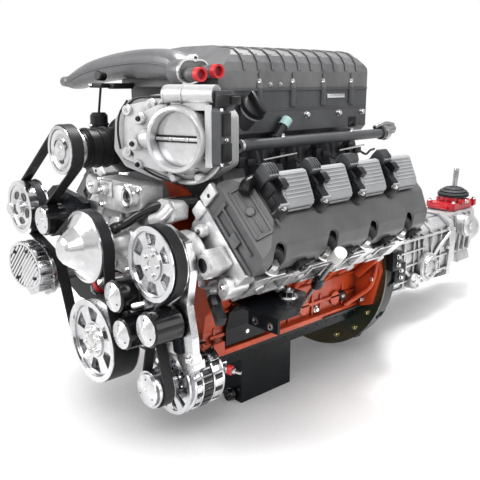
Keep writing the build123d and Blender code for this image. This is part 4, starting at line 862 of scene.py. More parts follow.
scallopY = (-503.0, -357.0, -227.0, -98.0)
coverBolts = []
for side in (-1, 1):
    upward = (side * half, 0, half)
    for y in scallopY:
        coverBolts.append((bankPoint(99, y, 368, side), upward))
bolts("coverBolts", "coverBolt", coverBolts, scale=1.5)
for side, tag in banks:
    turn = bankTurn(side)
    clips = Piece("railClips" + tag)
    for y in (-430, -292, -162, -62):
        clips.blocks(turn, (100, y - 30, 353, 114, y + 30, 362, 2), (102, y - 14, 360, 116, y + 14, 382, 3))
        clips.turned(hoop(4, 9, 0, 5), placed(turn, (116, y, 371), (1, 0, 0)), closed=True)
        clips.block((100, y + 20, 356), (110, y + 42, 374), 2, turn)
    clips.finish("blackPlastic")
    frameBar = Piece("coverEndBar" + tag)
    slope = turn @ shifted((0, -526, 422.6)) @ spun(40.4, "X")
    frameBar.blocks(slope, (-46, -19, -2, 62, -14, 3.5, 1.5), (-46, 12, -2, 62, 17, 3.5, 1.5),
        (-46, -19, -2, -41, 17, 3.5, 1.5), (57, -19, -2, 62, 17, 3.5, 1.5), (-36, -3, -2, 52, 0, 3, 1.2))
    frameBar.turned([(0, 6), (7, 6), (9, 4), (10, -2), (0, -2)], slope @ shifted((8, -1, 0)))
    frameBar.blocks(turn, (-30, -549, 356, 100, -544, 364, 1.5), (-30, -549, 384, 76, -544, 390, 1.5),
        (-36, -549, 350, -28, -544, 400, 1.5), (20, -552, 362, 44, -544, 384, 2),
        (-52, -503, 438, 60, -497, 443.5, 2))
    frameBar.finish("coverPaint")
    funnels = Piece("boltFunnels" + tag)
    for y in boreY:
        funnels.turned([(9, 0), (16, -16), (19, -22), (0, -22)], placed(turn, (36, y - 48, 443),
            (0.25, 0, 1)))
    funnels.finish("coverPaint")

# Coils: ribbed lids, sockets with plugs, hold-down bolts

coilShape = {"ribs": 7, "first": -21.0, "pitch": 6.8, "ribHalf": 1.7, "ribRise": 1.3, "top": 484.0,
    "tilt": -0.383, "rear": 36.0, "front": -34.0, "headRibs": 4}
for side, tag in banks:
    turn = bankTurn(side)
    ribs = Piece("coilRibs" + tag)
    heads = Piece("coilHeads" + tag)
    dark = Piece("coilPlugs" + tag)
    for y in boreY:
        for k in range(coilShape["ribs"]):
            u = coilShape["first"] + coilShape["pitch"] * k
            s = coilShape["top"] + coilShape["tilt"] * (u + 24)
            ribs.block((u - coilShape["ribHalf"], y + coilShape["front"], s - 2),
                (u + coilShape["ribHalf"], y + coilShape["rear"], s + coilShape["ribRise"]), 0.9, turn)
        ribs.blocks(turn, (33.6, y - 34, 446, 35.6, y + 34, 452, 0.9), (-35.4, y - 34, 446, -33.4, y + 34,
            452, 0.9), (-30, y + 37.4, 450, 30, y + 40, 462, 1.2))
        heads.prism([(-47, 468), (-47, 486), (-41, 493), (-24, 493), (-17, 485), (-17, 468)], y - 66, y - 39,
            1.5, turn @ endways)
        for k in range(coilShape["headRibs"]):
            front = y - 63 + 6.2 * k
            heads.prism([(-48.4, 470), (-48.4, 487), (-41.6, 494.4), (-23.4, 494.4), (-15.6, 485.6),
                (-15.6, 470)], front, front + 3, 0.8, turn @ endways)
        dark.blocks(turn, (-46.5, y - 65, 446, -16, y - 39.5, 469, 2.0), (-18, y - 59, 441, 31, y - 38.3,
            470.5, 2.5), (-16, y - 62, 452, 6, y - 56, 478, 1.5), (-14, y - 42, 466, 4, y - 26, 484.6, 1.2),
            (8, y - 61, 448, 24, y - 57, 464, 1.2))
        dark.turned([(0, 21), (9, 21), (11.4, 19), (11.4, 4), (14, 0), (0, 0)],
            placed(turn, (34, y - 48, 441), (0, 0, 1)), steps=28)
    ribs.finish("coilPlastic")
    heads.finish("housingPaint")
    dark.finish("blackPlastic")
bolts("coilBolts", "smallScrew", [(bankPoint(34, y - 48, 461.5, side), (side * half, 0, half)) for y in boreY
    for side in (-1, 1)], scale=1.35)
print("covers and coils ready")

# Fuel rails: end rings, rear fitting and the injector leads

for side, tag in banks:
    shiftY = stagger[side]
    x = side * 192
    Piece("railRing" + tag).turned([(6, 0), (11, 0), (13.4, 1.5), (13.4, 8), (6, 8)],
        frontal(x, -444 + shiftY, 396), closed=True).finish("sheenAluminium")
    fitting = Piece("railFitting" + tag)
    fitting.turned([(15.5, 0), (17, 2), (17, 10), (15, 12)], facing((x, 20 + shiftY, 396), (0, 1, 0)),
        closed=True)
    fitting.turned([(0, 46), (10, 46), (12, 42), (12, 20), (14, 16), (14, 0), (0, 0)],
        facing((x, 14 + shiftY, 400), (0, 1, 0.1)))
    fitting.tube([(x - 4, -10 + shiftY, 410), (x - 2, 30 + shiftY, 418), (x, 60 + shiftY, 414)], 5)
    fitting.finish("machinedSteel")
    leads = Piece("injectorLeads" + tag)
    for y in boreY:
        yy = y + shiftY
        leads.blocks(None, (x - side * 4 - 8, yy - 9, 352, x - side * 4 + 8, yy + 9, 376, 3),
            (x + side * 2 - 7, yy + 8, 356, x + side * 2 + 7, yy + 30, 370, 3))
        leads.tube([(x + side * 4, yy + 26, 362), (x + side * 10, yy + 46, 352), (x + side * 4, yy + 70, 358),
            (x, yy + 92, 360)], 2.6)
    leads.finish("blackPlastic")
    clipsRail = Piece("railRods" + tag)
    clipsRail.tube([(x + side * 12, -398 + shiftY, 366), (x + side * 12, -300 + shiftY, 372)], 2.2)
    clipsRail.tube([(x + side * 12, -160 + shiftY, 368), (x + side * 12, -70 + shiftY, 374)], 2.2)
    clipsRail.finish("boltSteel")
bolts("railBolts", "smallScrew", [((side * 192, y + stagger[side], 407), (0, 0, 1)) for y in (-330, -104)
    for side in (-1, 1)], scale=1.3)

filler = Piece("fillerWings")
fillerPlace = shifted((139, -395, 435.4)) @ spun(48, "Y")
filler.turned([(0, 42.5), (24, 42.5), (27, 44), (27, 50), (24, 53), (12, 55), (0, 55)], fillerPlace)
filler.block((-27, -5, 50), (27, 5, 68), 4, fillerPlace)
filler.finish("blackPlastic", "oil_filler_cap")
Piece("fillerCollar").turned([(20.2, 34), (24, 35), (24, 40), (20.2, 41)], fillerPlace,
    closed=True).finish("castAluminium")
mint = Piece("mintCap")
mintPlace = facing((164, -316, 408), (0.02, 0.67, 0.74))
mint.turned(boss(10, 45, 11.6, 43, 25), mintPlace, steps=12)
mint.finish("mintPlastic")
Piece("mintStub").turned(disc(9, -8, 26), mintPlace).block((150, -332, 392), (166, -306, 410),
    3).finish("blackPlastic")
conduit = Piece("conduit")
conduitLine = smoothLine([Vector(p) for p in ((292, -532, 330), (288, -520, 341), (284, -495, 346),
    (280, -466, 348), (268, -446, 352))], 10)
for k, point in enumerate(conduitLine):
    ahead = conduitLine[min(k + 1, len(conduitLine) - 1)] - conduitLine[max(k - 1, 0)]
    conduit.turned([(0, -1.6), (9, -1.6), (11.5, -0.8), (11.5, 0.8), (9, 1.6), (0, 1.6)],
        facing(point, ahead), steps=16)
conduit.finish("hoseRubber")
print("fuel rails ready")

# Front end: pump, outlet block, bosses and bolts of the castings

Piece("valleyWeb").prism([(20, 322), (52, 279), (112, 297), (93, 309)], -514, -505, 1.5,
    endways).finish("blockPaint")
pump = Piece("pumpCasting")
pumpAt = frontal(-10, -600, 197)
pump.turned([(54, 0), (50, 6), (44, 8), (30, 26), (28, 40), (0, 40)], pumpAt, steps=48)
for k in range(6):
    pump.block((34, -3, 0), (60, 3, 9), 1.5, pumpAt @ spun(15 + 60 * k, "Z"))
pump.turned(boss(19, 14, 22, 11, 0), frontal(-77, -612, 309))
pump.blocks(None, (-62, -618, 286, -10, -596, 322, 7), (8, -626, 274, 46, -604, 320, 6))
pump.turned(boss(9, 12, 11, 9, 0), frontal(-30, -618, 304))
pump.tube([(-70, -600, 264), (-92, -598, 236), (-104, -592, 214)], 9)
pump.tube([(96, -592, 256), (130, -592, 268), (156, -586, 292)], 12)
pump.tube([(54, -594, 232), (84, -596, 214), (96, -596, 178)], 10)
pump.blocks(None, (-112, -604, 178, -74, -586, 222, 6), (-54, -606, 128, 38, -588, 160, 6))
pump.finish("castAluminium")
portRing = Piece("outletRing")
portRing.turned([(12.2, 0), (19.8, 0), (19.8, 3), (17, 4.5), (12.2, 3)], frontal(62, -626, 300), closed=True)
portRing.finish("sheenAluminium")
# the black disc in the outlet is painted shade inside the port
Piece("outletBore").turned(disc(12, 0, -3), frontal(62, -622, 300)).finish("rollerPlastic")
frontBolts = aimed(forward, (-77, -626, 309), (-30, -630, 304), (-58, -612, 268), (30, -604, 268),
    (40, -612, 318), (84, -612, 316), (-62, -612, 320), (-96, -592, 190), (-120, -590, 216),
    (-160, -590, 240), (60, -600, 200), (-70, -600, 176), (20, -606, 142), (-30, -606, 142), (140, -590, 284),
    (-84, -560, 96), (-88, -560, 40), (86, -560, 20), (70, -560, 170), (-50, -560, 186), (0, -572, 60),
    (-46, -572, -20), (46, -572, -20))
bolts("frontBolts", "smallScrew", frontBolts, scale=1.35)
pipe = Piece("coolantPipe")
pipe.tube([(30, -640, 236), (42, -622, 243), (66, -606, 262), (96, -592, 280), (124, -578, 290),
    (152, -560, 296), (176, -540, 300)], 9.5)
pipe.turned([(6, 0), (9.5, 0), (11.5, -4), (11.5, -14), (9.5, -17), (6, -17)],
    facing((27, -645, 231), (-0.45, -0.75, -0.4)), closed=True)
pipe.finish("hoseRubber")
ring = Piece("redRing")
ringAt = facing((-34, -636, 104), (-0.75, -0.2, -0.62))
ring.turned([(13, 0), (17, 1), (17, 10), (13, 11)], ringAt, closed=True)
ring.finish("redPlastic")
Piece("ringFitting").turned([(0, -26), (9, -26), (12, -22), (15, -18), (15, 22), (12, 28), (0, 28)], ringAt,
    steps=6).tube([(-30, -636, 110), (-6, -630, 122), (30, -620, 132)], 6).finish("sheenAluminium")

# Heads: front face with its square port, ribs and bosses

for side, tag in banks:
    turn = bankTurn(side)
    toFront = Vector((0, -1, 0))
    cast = Piece("headFront" + tag)
    cast.block((20, -598, 300), (62, -548, 342), 5, turn)
    cast.turned(hoop(14, 20, 0, -7), facing(turn @ Vector((41, -601, 321)), toFront), closed=True)
    cast.blocks(turn, (-70, -518, 244, 86, -506, 256, 4), (-56, -524, 256, -44, -506, 340, 4),
        (6, -526, 250, 18, -506, 330, 4), (66, -522, 250, 78, -506, 320, 4), (78, -560, 270, 100, -512, 296,
        6))
    cast.turned([(0, 26), (7, 26), (10, 20), (12, 0), (0, 0)], facing(turn @ Vector((-62, -520, 300)),
        (side * 0.3, -0.9, 0.3)))
    cast.blocks(turn, (-78, -556, 318, -52, -536, 352, 4), (-84, -552, 352, -58, -540, 396, 4))
    for y in boreY:
        cast.blocks(turn, (100, y - 30, 274, 108, y - 24, 330, 2), (100, y + 24, 274, 108, y + 30, 330, 2),
            (100, y - 30, 322, 107.5, y + 30, 330, 2), (100, y - 30, 271, 107.5, y + 30, 279, 2))
        cast.turned(boss(9, 10, 11, 7, 0), placed(turn, (98, y + 42, 262), (1, 0, 0)))
        cast.turned(boss(8, 6, 10, 4, 0), placed(turn, (102, y - 42, 300), (1, 0, 0)))
        cast.block((90, y - 50, 246), (96, y + 50, 254), 2, turn)
    for profile, point in ((boss(15, 8, 18, 4, -40), (84, -556, 300)),
            (boss(11, 10, 13, 6, -30), (-30, -556, 318)), (boss(12, 10, 14, 6, -30), (-12, -520, 262)),
            (boss(13, 8, 15, 4, -20), (52, -516, 258))):
        cast.turned(profile, facing(turn @ Vector(point), toFront))
    cast.finish("castAluminium")
    # black discs in the port and bosses are painted shade inside the holes
    dark = Piece("headHoles" + tag)
    for profile, point in ((disc(14, 0, -4), (41, -599, 321)), (disc(5, 0.5, -3), (-30, -566, 318)),
            (disc(5, 0.5, -3), (52, -524, 258)), (disc(4, 0.5, -3), (-68, -552, 376))):
        dark.turned(profile, facing(turn @ Vector(point), toFront))
    dark.finish("rollerPlastic")
    faceBolts = [(turn @ Vector(p), toFront) for p in ((84, -564, 300), (-12, -530, 262), (-48, -526, 300),
        (12, -528, 290), (72, -524, 284))]
    bolts("headFrontBolts" + tag, "smallScrew", faceBolts, scale=1.3)

# Crankcase side: core plugs, ribs, grommet bolts, gasket rail

for side, tag in banks:
    turn = bankTurn(side)
    out = turn.to_3x3() @ Vector((1, 0, 0))
    shiftY = stagger[side]
    cast = Piece("blockCasting" + tag)
    for k in range(3):
        y = boreY[k] + 56.6
        cast.blocks(turn, (74, y - 30, 205, 90, y + 4, 232, 6), (74, y - 4, 160, 84, y + 4, 215, 3))
    cast.blocks(turn, (74, -498, 152, 82, -24, 160, 3), (72, -36, 150, 98, -14, 230, 5))
    for k in range(4):
        y = boreY[k] + 6 + shiftY
        cast.turned([(0, 3), (16, 3), (19, 5), (21, 5), (21, -4), (0, -4)],
            facing(turn @ Vector((76, boreY[k], 190)), out))
        cast.blocks(None, (side * 150 - 4, y - 52, -34, side * 150 + 4, y - 46, 18, 2),
            (side * 150 - 5, y + 30, -34, side * 150 + 5, y + 38, 30, 2))
    cast.blocks(None, (side * 152 - 4, -500, -6, side * 152 + 4, -16, 2, 2),
        (side * 165 - 8, -512, -41, side * 165 + 1, -15, -32, 2), (side * 165 - 3, -502, -43, side * 165 + 4,
        -470, -10, 4))
    cast.tube([(side * 158, -60, -34), (side * 178, -30, -10), (side * 205, -16, 20), (side * 218, -14, 70),
        (side * 216, -14, 108)], 6)
    cast.finish("blockPaint", angle=45)
    rims = Piece("railFace" + tag)
    rims.block((side * 165 - 2, -150, -44.4), (side * 165 + 6, -14, -41), 0.8)
    rims.finish("gasketGrey")
sideBolts = [((side * 153, y, z), (side, 0, 0)) for side in (-1, 1) for y, z in ((-398, -10), (-66, -6),
    (-165, -19))]
bolts("sideBolts", "smallScrew", sideBolts, scale=1.6)
grommets = Piece("sideGrommets")
for side in (-1, 1):
    for y, z in ((-398, -10), (-66, -6)):
        grommets.turned([(6, 0), (13, 0), (14, 3), (11, 7), (6, 7)], facing((side * 152, y, z), (side, 0, 0)),
            closed=True)
grommets.finish("hoseRubber")
bolts("panBolts", "tinyScrew", [((side * 160, -500 + 37 * k, -52.4), (0, 0, -1)) for k in range(14)
    for side in (-1, 1)], "bracketPaint", scale=2.0)
drain = Piece("drainRing")
drain.turned([(8, 0), (14.1, 0), (14.8, 1.5), (14.8, 4), (8, 4)], frontal(112, -402, -176), steps=48,
    closed=True)
drain.finish("sheenAluminium")
Piece("drainHead").turned([(0, 14.5), (4, 14.5), (5, 12.6), (9, 12.4), (11, 14.4), (13.1, 13.6), (13.4, 11),
    (13.4, 5), (0, 5)], frontal(112, -401.5, -176), steps=40).finish("rollerPlastic")
bolts("mountNuts", "mountNut", [((side * 262, -380 + stagger[side], 90), (0, 0, 1)) for side in (-1, 1)],
    scale=1.12)
bolts("mountStuds", "tinyScrew", [((side * 262, -380 + stagger[side], 106), (0, 0, 1)) for side in (-1, 1)],
    scale=2.2)
mountRims = Piece("mountRims")
for side in (-1, 1):
    shiftY = stagger[side]
    for x in (278, 318):
        mountRims.turned([(4.4, 0), (7.5, 0), (7.5, 1.2), (4.4, 1.6)], frontal(side * x, -488 + shiftY, 70),
            closed=True)
mountRims.finish("machinedSteel")
collar = Piece("dipstickCollar")
foot, top = Vector((200, -279, 24)), Vector((360, -352, 185))
run = (top - foot).normalized()
collar.turned([(5.6, 0), (11, 1), (13, 8), (13, 22), (9, 30), (5.6, 31)], facing(foot + run * 118, run),
    closed=True)
collar.finish("hoseRubber")
pull = Piece("dipstickPull")
pull.turned([(0, 0.6), (6, 0.6), (8.6, 3), (11.6, 7), (12.2, 16), (10.5, 23), (6, 26), (0, 26.4)],
    facing(top, run) @ Matrix.Diagonal((1, 0.86, 1, 1)), steps=32)
pull.finish("whitePlastic", "dipstick")

# Alternator: slotted housings, barred pack and the output stud

altX, altZ = 167.0, -56.0
alternatorAt = frontal(altX, 0, altZ)
fins = Piece("alternatorFins")
for k in range(16):
    place = alternatorAt @ spun(22.5 * k, "Z")
    fins.blocks(place, (62, -8, 531, 67.4, 8, 553, 1.5), (62, -6, 584, 67.2, 6, 598, 1.5))
fins.turned([(66, 581), (67.6, 581.5), (67.6, 584.5), (66, 585)], alternatorAt, steps=64, closed=True)
fins.turned([(66, 553), (67.6, 553.5), (67.6, 556.5), (66, 557)], alternatorAt, steps=64, closed=True)
fins.finish("chrome")
bars = Piece("alternatorBars")
for k in range(30):
    place = alternatorAt @ Matrix.Rotation(tau * k / 30, 4, "Z")
    bars.block((63, -5.2, 557), (67.3, 5.2, 581), 1.0, place)
bars.finish("rollerPlastic")
# black blocks in the housing slots are painted shade seen through them
holes = Piece("alternatorSlots")
for k in range(16):
    place = alternatorAt @ Matrix.Rotation(tau * (k + 0.5) / 16, 4, "Z")
    holes.blocks(place, (62, -4.4, 533, 67.1, 4.4, 551, 0.8), (62, -4.4, 586, 67.1, 4.4, 597, 0.8))
holes.finish("rollerPlastic")
stud = Piece("outputStud")
studAt = facing((226, -505, -46), (0.85, 0.35, -0.1))
stud.turned([(0, 22), (3.4, 22), (3.4, 8), (6, 8), (6, 2), (9, 2), (9, -14), (0, -14)], studAt, steps=12)
stud.finish("boltSteel")
Piece("studCollar").turned([(8, -6), (10, -6), (10, 1), (9, 3), (8, 3)], studAt,
    closed=True).finish("redPlastic")
bolts("alternatorBolts", "smallScrew", [((altX + 62 * cos(a), -600, altZ + 62 * sin(a)), forward)
    for a in (0.5, 2.1, 3.7, 5.3)], scale=1.1)
barShape = {"middle": (207, -614, 65), "turn": -40.2, "halfLength": 66.0, "halfWidth": 11.0}
bridgeBar = Piece("brightBar")
barLine = shifted(barShape["middle"]) @ spun(barShape["turn"], "Y")
bridgeBar.block((-barShape["halfWidth"], -7, -barShape["halfLength"]),
    (barShape["halfWidth"], 7, barShape["halfLength"]), 3, barLine)
for end in (-1, 1):
    bridgeBar.turned([(0, 0), (12.5, 0), (12.5, 16), (11, 17.5), (0, 17.5)],
        facing(barLine @ Vector((0, 8, end * (barShape["halfLength"] - 6))), forward))
bridgeBar.finish("whiteAluminium")
bolts("bracketBolts", "capScrew", [(barLine @ Vector((0, -9.5, end * 60)), forward) for end in (-1, 1)]
    + aimed(forward, (110, -622, 240), (232, -622, 190), (70, -622, 60), (72, -622, 140)))
stack = Piece("tensionerStud")
stack.turned([(0, 54), (5, 54), (6, 52), (6, 30), (11, 30), (11, 14), (15, 12), (15, 0), (0, 0)],
    facing((152, -624, 112), (-0.35, -0.9, -0.1)), steps=6)
stack.finish("sheenAluminium")
sensor = Piece("sensorBody")
sensor.turned([(0, 0), (15, 0), (15, 22), (12, 26), (12, 34), (0, 34)],
    facing((216, -540, 142), (0.6, -0.55, -0.58)), steps=6)
sensor.block((186, -556, 130), (222, -512, 170), 6)
sensor.finish("sheenAluminium")
plug = Piece("sensorPlug")
plugAt = facing((236, -558, 122), (0.75, -0.3, -0.6))
plug.turned([(0, 0), (13, 0), (13, 20), (10, 24), (10, 46), (0, 46)], plugAt, steps=8)
plug.block((-9, -12, 22), (9, 12, 56), 2, plugAt)
plug.finish("blackPlastic")

# Compressor cover: fins across its face and down its flanks

cover = {"front": -731.0, "back": -696.0, "outline": ((-257, 159), (-222, 175), (-186, 178), (-152, 166),
    (-126, 142), (-121, 113), (-140, 92), (-166, 80), (-198, 73), (-232, 75), (-262, 86), (-277, 104),
    (-275, 134)), "slope": 43.0, "pitch": 9.0, "middle": (-200, 125)}
coverLine = roundedLine(cover["outline"])
midX, midZ = cover["middle"]


def scaledLine(line, amount):
    # an outline drawn in towards the cover's middle by about an amount in millimetres
    share = 1 - amount / 62
    return [(midX + (x - midX) * share, midZ + (z - midZ) * share) for x, z in line]


shell = Piece("compressorCover")
shell.prism(coverLine, cover["front"] + 3, cover["back"], 3.5, endways)
shell.prism(scaledLine(coverLine, -1.8), cover["back"] - 6, cover["back"], 1.2, endways)
for angle in (180, 221):
    x = -172 + 53 * cos(radians(angle))
    z = 108 + 53 * sin(radians(angle))
    shell.turned(disc(4.5, -698, -599), Matrix(((1, 0, 0, x), (0, 0, 1, 0), (0, 1, 0, z), (0, 0, 0, 1))))
shell.finish("polishedAluminium")
Piece("coverRim").band(scaledLine(coverLine, 1), scaledLine(coverLine, 7), cover["front"] + 0.5,
    cover["front"] + 4, endways).finish("polishedAluminium")
fins = Piece("coverFins")
slopeTurn = radians(cover["slope"])
along = Vector((cos(slopeTurn), sin(slopeTurn)))
across = Vector((-along.y, along.x))
inner = [Vector((x - midX, z - midZ)) for x, z in scaledLine(coverLine, 8)]
for k in range(-8, 9):
    offset = cover["pitch"] * k
    spans = []
    for a, b in zip(inner, inner[1:] + inner[:1]):
        da, db = a.dot(across) - offset, b.dot(across) - offset
        if da * db < 0:
            cut = a + (b - a) * (da / (da - db))
            spans.append(cut.dot(along))
    if len(spans) < 2:
        continue
    low, high = min(spans), max(spans)
    place = Matrix(((along.x, 0, across.x, midX), (0, 1, 0, 0), (along.y, 0, across.y, midZ), (0, 0, 0, 1)))
    fins.block((low, cover["front"], offset - 3.2), (high, cover["front"] + 4, offset + 3.2), 1.2, place)
fins.finish("polishedAluminium")
flutes = Piece("coverFlutes")
for a, b in list(zip(coverLine, coverLine[1:] + coverLine[:1]))[::2]:
    middle = Vector(((a[0] + b[0]) / 2, 0, (a[1] + b[1]) / 2))
    flutes.tube([middle + Vector((0, cover["front"] + 5, 0)), middle + Vector((0, cover["back"] - 7, 0))],
        1.5, steps=8)
flutes.finish("polishedAluminium")
bolts("coverFinBolts", "tinyScrew", [((x, cover["front"] - 0.2, z), forward)
    for x, z in ((-240, 150), (-180, 162), (-150, 108), (-236, 92))], "windingPack", scale=1.6)
Piece("pumpCone").turned([(0, 735.4), (19.6, 735.4), (21.5, 734.8), (27.4, 730.2), (44.4, 707.2), (50, 702),
    (67.2, 689.2), (73.3, 687.4), (73.3, 685), (0, 685)], frontal(-10, 0, 197),
    steps=96).finish(nodeFinish["water_pump_pulley"], "water_pump_pulley", "polished_aluminium", angle=24)
wheelFaces = {
    "guide": {"at": (-254, 245), "front": 703.4, "radius": 51.0, "holes": 5, "reach": 30.0,
        "size": (8.0, 11.5), "first": 54, "body": "guide_pulley"},
    "drive": {"at": (-80, 384), "front": 687.4, "radius": 41.0, "holes": 3, "reach": 22.0, "size": (5.5, 8.5),
        "first": 30, "body": "supercharger_drive"},
}
for label, wheel in wheelFaces.items():
    x, z = wheel["at"]
    r, front = wheel["radius"], wheel["front"]
    place = frontal(x, 0, z)
    Piece(label + "Face").turned([(0, front + 2), (9, front + 2), (11, front + 0.6), (15, front - 0.4),
        (r - 9, front - 1.8), (r - 6, front - 0.2), (r, front + 0.4), (r, front - 4), (0, front - 4)], place,
        steps=72).finish(turnedFinish(label + "Turned", x, z, 1.3), wheel["body"], "polished_aluminium",
        angle=24)
    # the dark discs in the face are painted shade seen through its windows
    holes = Piece(label + "Holes")
    for k in range(wheel["holes"]):
        turn = spun(wheel["first"] + 360 * k / wheel["holes"], "Z")
        wide, tall = wheel["size"]
        spot = place @ turn @ shifted((wheel["reach"], 0, front)) @ Matrix.Diagonal((wide, tall, 1, 1))
        holes.turned(boss(0.9, -0.6, 1, -0.2, -3), spot, steps=28)
    holes.finish("rollerPlastic", wheel["body"])
rims = Piece("pulleyCaps")
rims.turned(boss(12, 5, 14, 3, 0), frontal(-254, -725, 245))
rims.finish("sheenAluminium", "guide_pulley")
nose = Piece("pumpNoseRings")
nose.turned([(0, 1.5), (4, 1.5), (5, 0), (0, 0)], frontal(-10, -735, 197))
nose.finish("windingPack", "water_pump_pulley")
bolts("noseBolts", "smallScrew", [((-10 + 14 * cos(a), -734.8, 197 + 14 * sin(a)), forward)
    for a in (0.4, 1.97, 3.54, 5.1)], "sheenAluminium", "water_pump_pulley", 0.6)
bolts("crankBolts", "capScrew", [((24 * cos(a), -686, 24 * sin(a)), forward) for a in (0.3, 1.35, 2.4, 3.44,
    4.49, 5.54)], "boltSteel", "crank", 0.8)
Piece("crankCentre").turned([(0, 7), (10, 7), (12, 5), (15, 2), (15, 0), (0, 0)], frontal(0, -686, 0),
    steps=6).finish("boltSteel", "crank")
print("front end ready")

# Rear end: plate bolts, housing ribs, gearbox ribs, bolts and side covers

bolts("plateBolts", "capScrew", [((side * x, 0, z), forward) for side in (-1, 1)
    for x, z in ((186, -59), (150, -110), (92, -147))], "yellowZinc")
bolts("flangeBolts", "capScrew", [((side * x, -14, z), forward) for side in (-1, 1)
    for x, z in ((208, 39), (212, 88), (176, -22))])
plateRim = Piece("plateRim")
plateRim.turned(hoop(228, 235.8, 0, 2.4), facing((0, 3.5, 45), (0, 1, 0)), steps=120, closed=True)
plateRim.finish("sheenAluminium")
bell = Piece("bellRibs")
for k in range(15):
    angle = tau * k / 15
    place = shifted((0, 6, 45)) @ Matrix.Rotation(angle, 4, "Y")
    outline = [(0, 222), (12, 238), (28, 238), (60, 226), (168, 122), (168, 112), (60, 214)]
    bell.prism(outline, -4, 4, 1.5, place @ sideways)
bell.blocks(None, (196, 8, 60, 250, 46, 110, 4), (200, 40, 20, 236, 90, 70, 5))
bell.turned([(222, 0), (235, 0), (235, 12), (228, 14), (222, 14)], facing((0, 7, 45), (0, 1, 0)), steps=120,
    closed=True)
bell.finish("bracketPaint")
bolts("bellBolts", "capScrew", aimed((1, 0, 0), (252, 27, 96), (252, 27, 76), (238, 62, 52), (238, 62, 34)),
    scale=0.8)
gearbox = Piece("gearboxRibs")
sideCover = facing((58, 668, 52), (1, 0, 0))
for side in (-1, 1):
    for k in range(7):
        y = 205 + 50 * k
        gearbox.block((side * 84 - 4, y, -74), (side * 84 + 6, y + 6, 64), 2)
    for k, (z, y0, y1) in enumerate(((52, 196, 548), (18, 196, 420), (-24, 300, 548), (-70, 196, 548))):
        gearbox.block((side * 85 - 5, y0, z), (side * 85 + 7, y1, z + 6), 2)
    gearbox.tube([(side * 96, 190, 60), (side * 92, 260, 10), (side * 92, 330, -50)], 6)
    gearbox.tube([(side * 96, 550, 50), (side * 92, 480, 0), (side * 92, 420, -60)], 6)
    gearbox.turned([(0, 10), (34, 10), (40, 6), (42, 0), (0, 0)], facing((side * 100, 421, -40),
        (side, 0, 0)), steps=40)
    gearbox.turned([(26, 10), (30, 15), (34, 15), (36, 8)], facing((side * 100, 421, -40), (side, 0, 0)),
        steps=40)
    gearbox.turned([(0, 12), (18, 12), (22, 8), (24, 0), (0, 0)], facing((side * 98, 351, -70), (side, 0, 0)),
        steps=32)
    gearbox.block((side * 80 - 14, 560, -60), (side * 80 + 14, 590, 60), 6)
    for k in range(5):
        y = 596 + 32 * k
        gearbox.block((side * 60 - 6, y, -40), (side * 60 + 8, y + 6, 88), 2)
    gearbox.block((side * 62 - 5, 580, 26), (side * 62 + 7, 756, 32), 2)
gearbox.turned([(0, 44), (26, 44), (34, 38), (34, 6), (38, 0), (0, 0)], sideCover, steps=40)
gearbox.turned([(34, 28), (37, 29), (37, 33), (34, 34)], sideCover, steps=40, closed=True)
gearbox.turned(boss(12, 50, 15, 46, 40), sideCover, steps=28)
gearbox.turned([(104, 0), (118, 0), (120, 4), (120, 10), (116, 14), (104, 14)],
    facing((0, 181, 0), (0, 1, 0)), steps=72, closed=True)
gearbox.blocks(None, (-40, 200, 86, 40, 548, 98, 6), (-20, 240, 94, 20, 330, 106, 5))
for k in range(4):
    gearbox.block((-60, 230 + 80 * k, 84), (60, 236 + 80 * k, 100), 2)
gearbox.block((-50, 200, -116), (50, 540, -104), 5)
gearbox.finish("gearboxAluminium")
caseScrews = []
for k in range(12):
    angle = tau * k / 12
    caseScrews.append(((110 * cos(angle), 195, 110 * sin(angle)), (0, 1, 0)))
for side in (-1, 1):
    caseScrews += [((side * x, 546, z), forward) for x, z in ((92, 60), (94, 0), (88, -70))]
    caseScrews += [((side * 112, 421 + 31 * cos(a), -40 + 31 * sin(a)), (side, 0, 0))
        for a in (0.5, 1.55, 2.6, 3.64, 4.69, 5.74)]
    caseScrews += [((side * 110, 351 + 15 * cos(a), -70 + 15 * sin(a)), (side, 0, 0))
        for a in (0.8, 2.9, 5.0)]
bolts("gearboxBolts", "smallScrew", caseScrews, scale=1.3)

base = Piece("shifterRidges")
for side in (-1, 1):
    base.blocks(None, (side * 44 - 8, 640, 100, side * 44 + 8, 656, 122, 3),
        (side * 44 - 8, 770, 100, side * 44 + 8, 786, 122, 3), (side * 40 - 6, 690, 112, side * 40 + 12, 740,
        130, 4))
base.blocks(None, (-34, 626, 100, 34, 640, 112, 3), (-34, 784, 100, 34, 796, 112, 3))
base.finish("redPaint")
bolts("shifterBolts", "smallScrew", [((side * 44, y, 122), (0, 0, 1)) for side in (-1, 1) for y in (648, 778)]
    + [((side * 52, 715, 122), (side, 0, 0)) for side in (-1, 1)], scale=1.4)
boot = Piece("bootRings")
boot.turned([(13.5, 166), (26, 164), (34, 160), (31, 157), (40, 156), (46, 152), (42, 149), (50, 147),
    (52, 142), (46, 140), (52, 137), (49, 134), (30, 134), (21, 134)], shifted((0, 720, 0)), steps=48,
    closed=True)
rubber = boot.finish("bootRubber", None, replaces=("shifter_boot",))
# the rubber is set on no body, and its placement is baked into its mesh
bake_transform(rubber)
lever = Piece("leverTop")
leverAt = shifted((0, 716, 80)) @ spun(-6, "X")
lever.turned([(0, 148), (8.4, 147), (8.8, 145), (8.8, 112), (8.2, 110), (8.2, 70), (0, 70)], leverAt)
for k in range(9):
    lever.turned([(8.6, 118 + 3 * k), (9.4, 119 + 3 * k), (8.6, 120.4 + 3 * k)], leverAt, steps=24)
lever.finish("machinedSteel", "shift_lever")
print("rear end ready")

# Camera at the photograph's viewing angle
camera = linked(bpy.data.objects.new("photoCamera", bpy.data.cameras.new("photoCamera")))
camera.data.lens = 48.97
camera.data.sensor_width = 36.0
camera.location = fromEngine @ Vector((1129, -1313, 524))
camera.rotation_euler = (radians(76.09), 0, radians(47.33))
bpy.context.scene.camera = camera

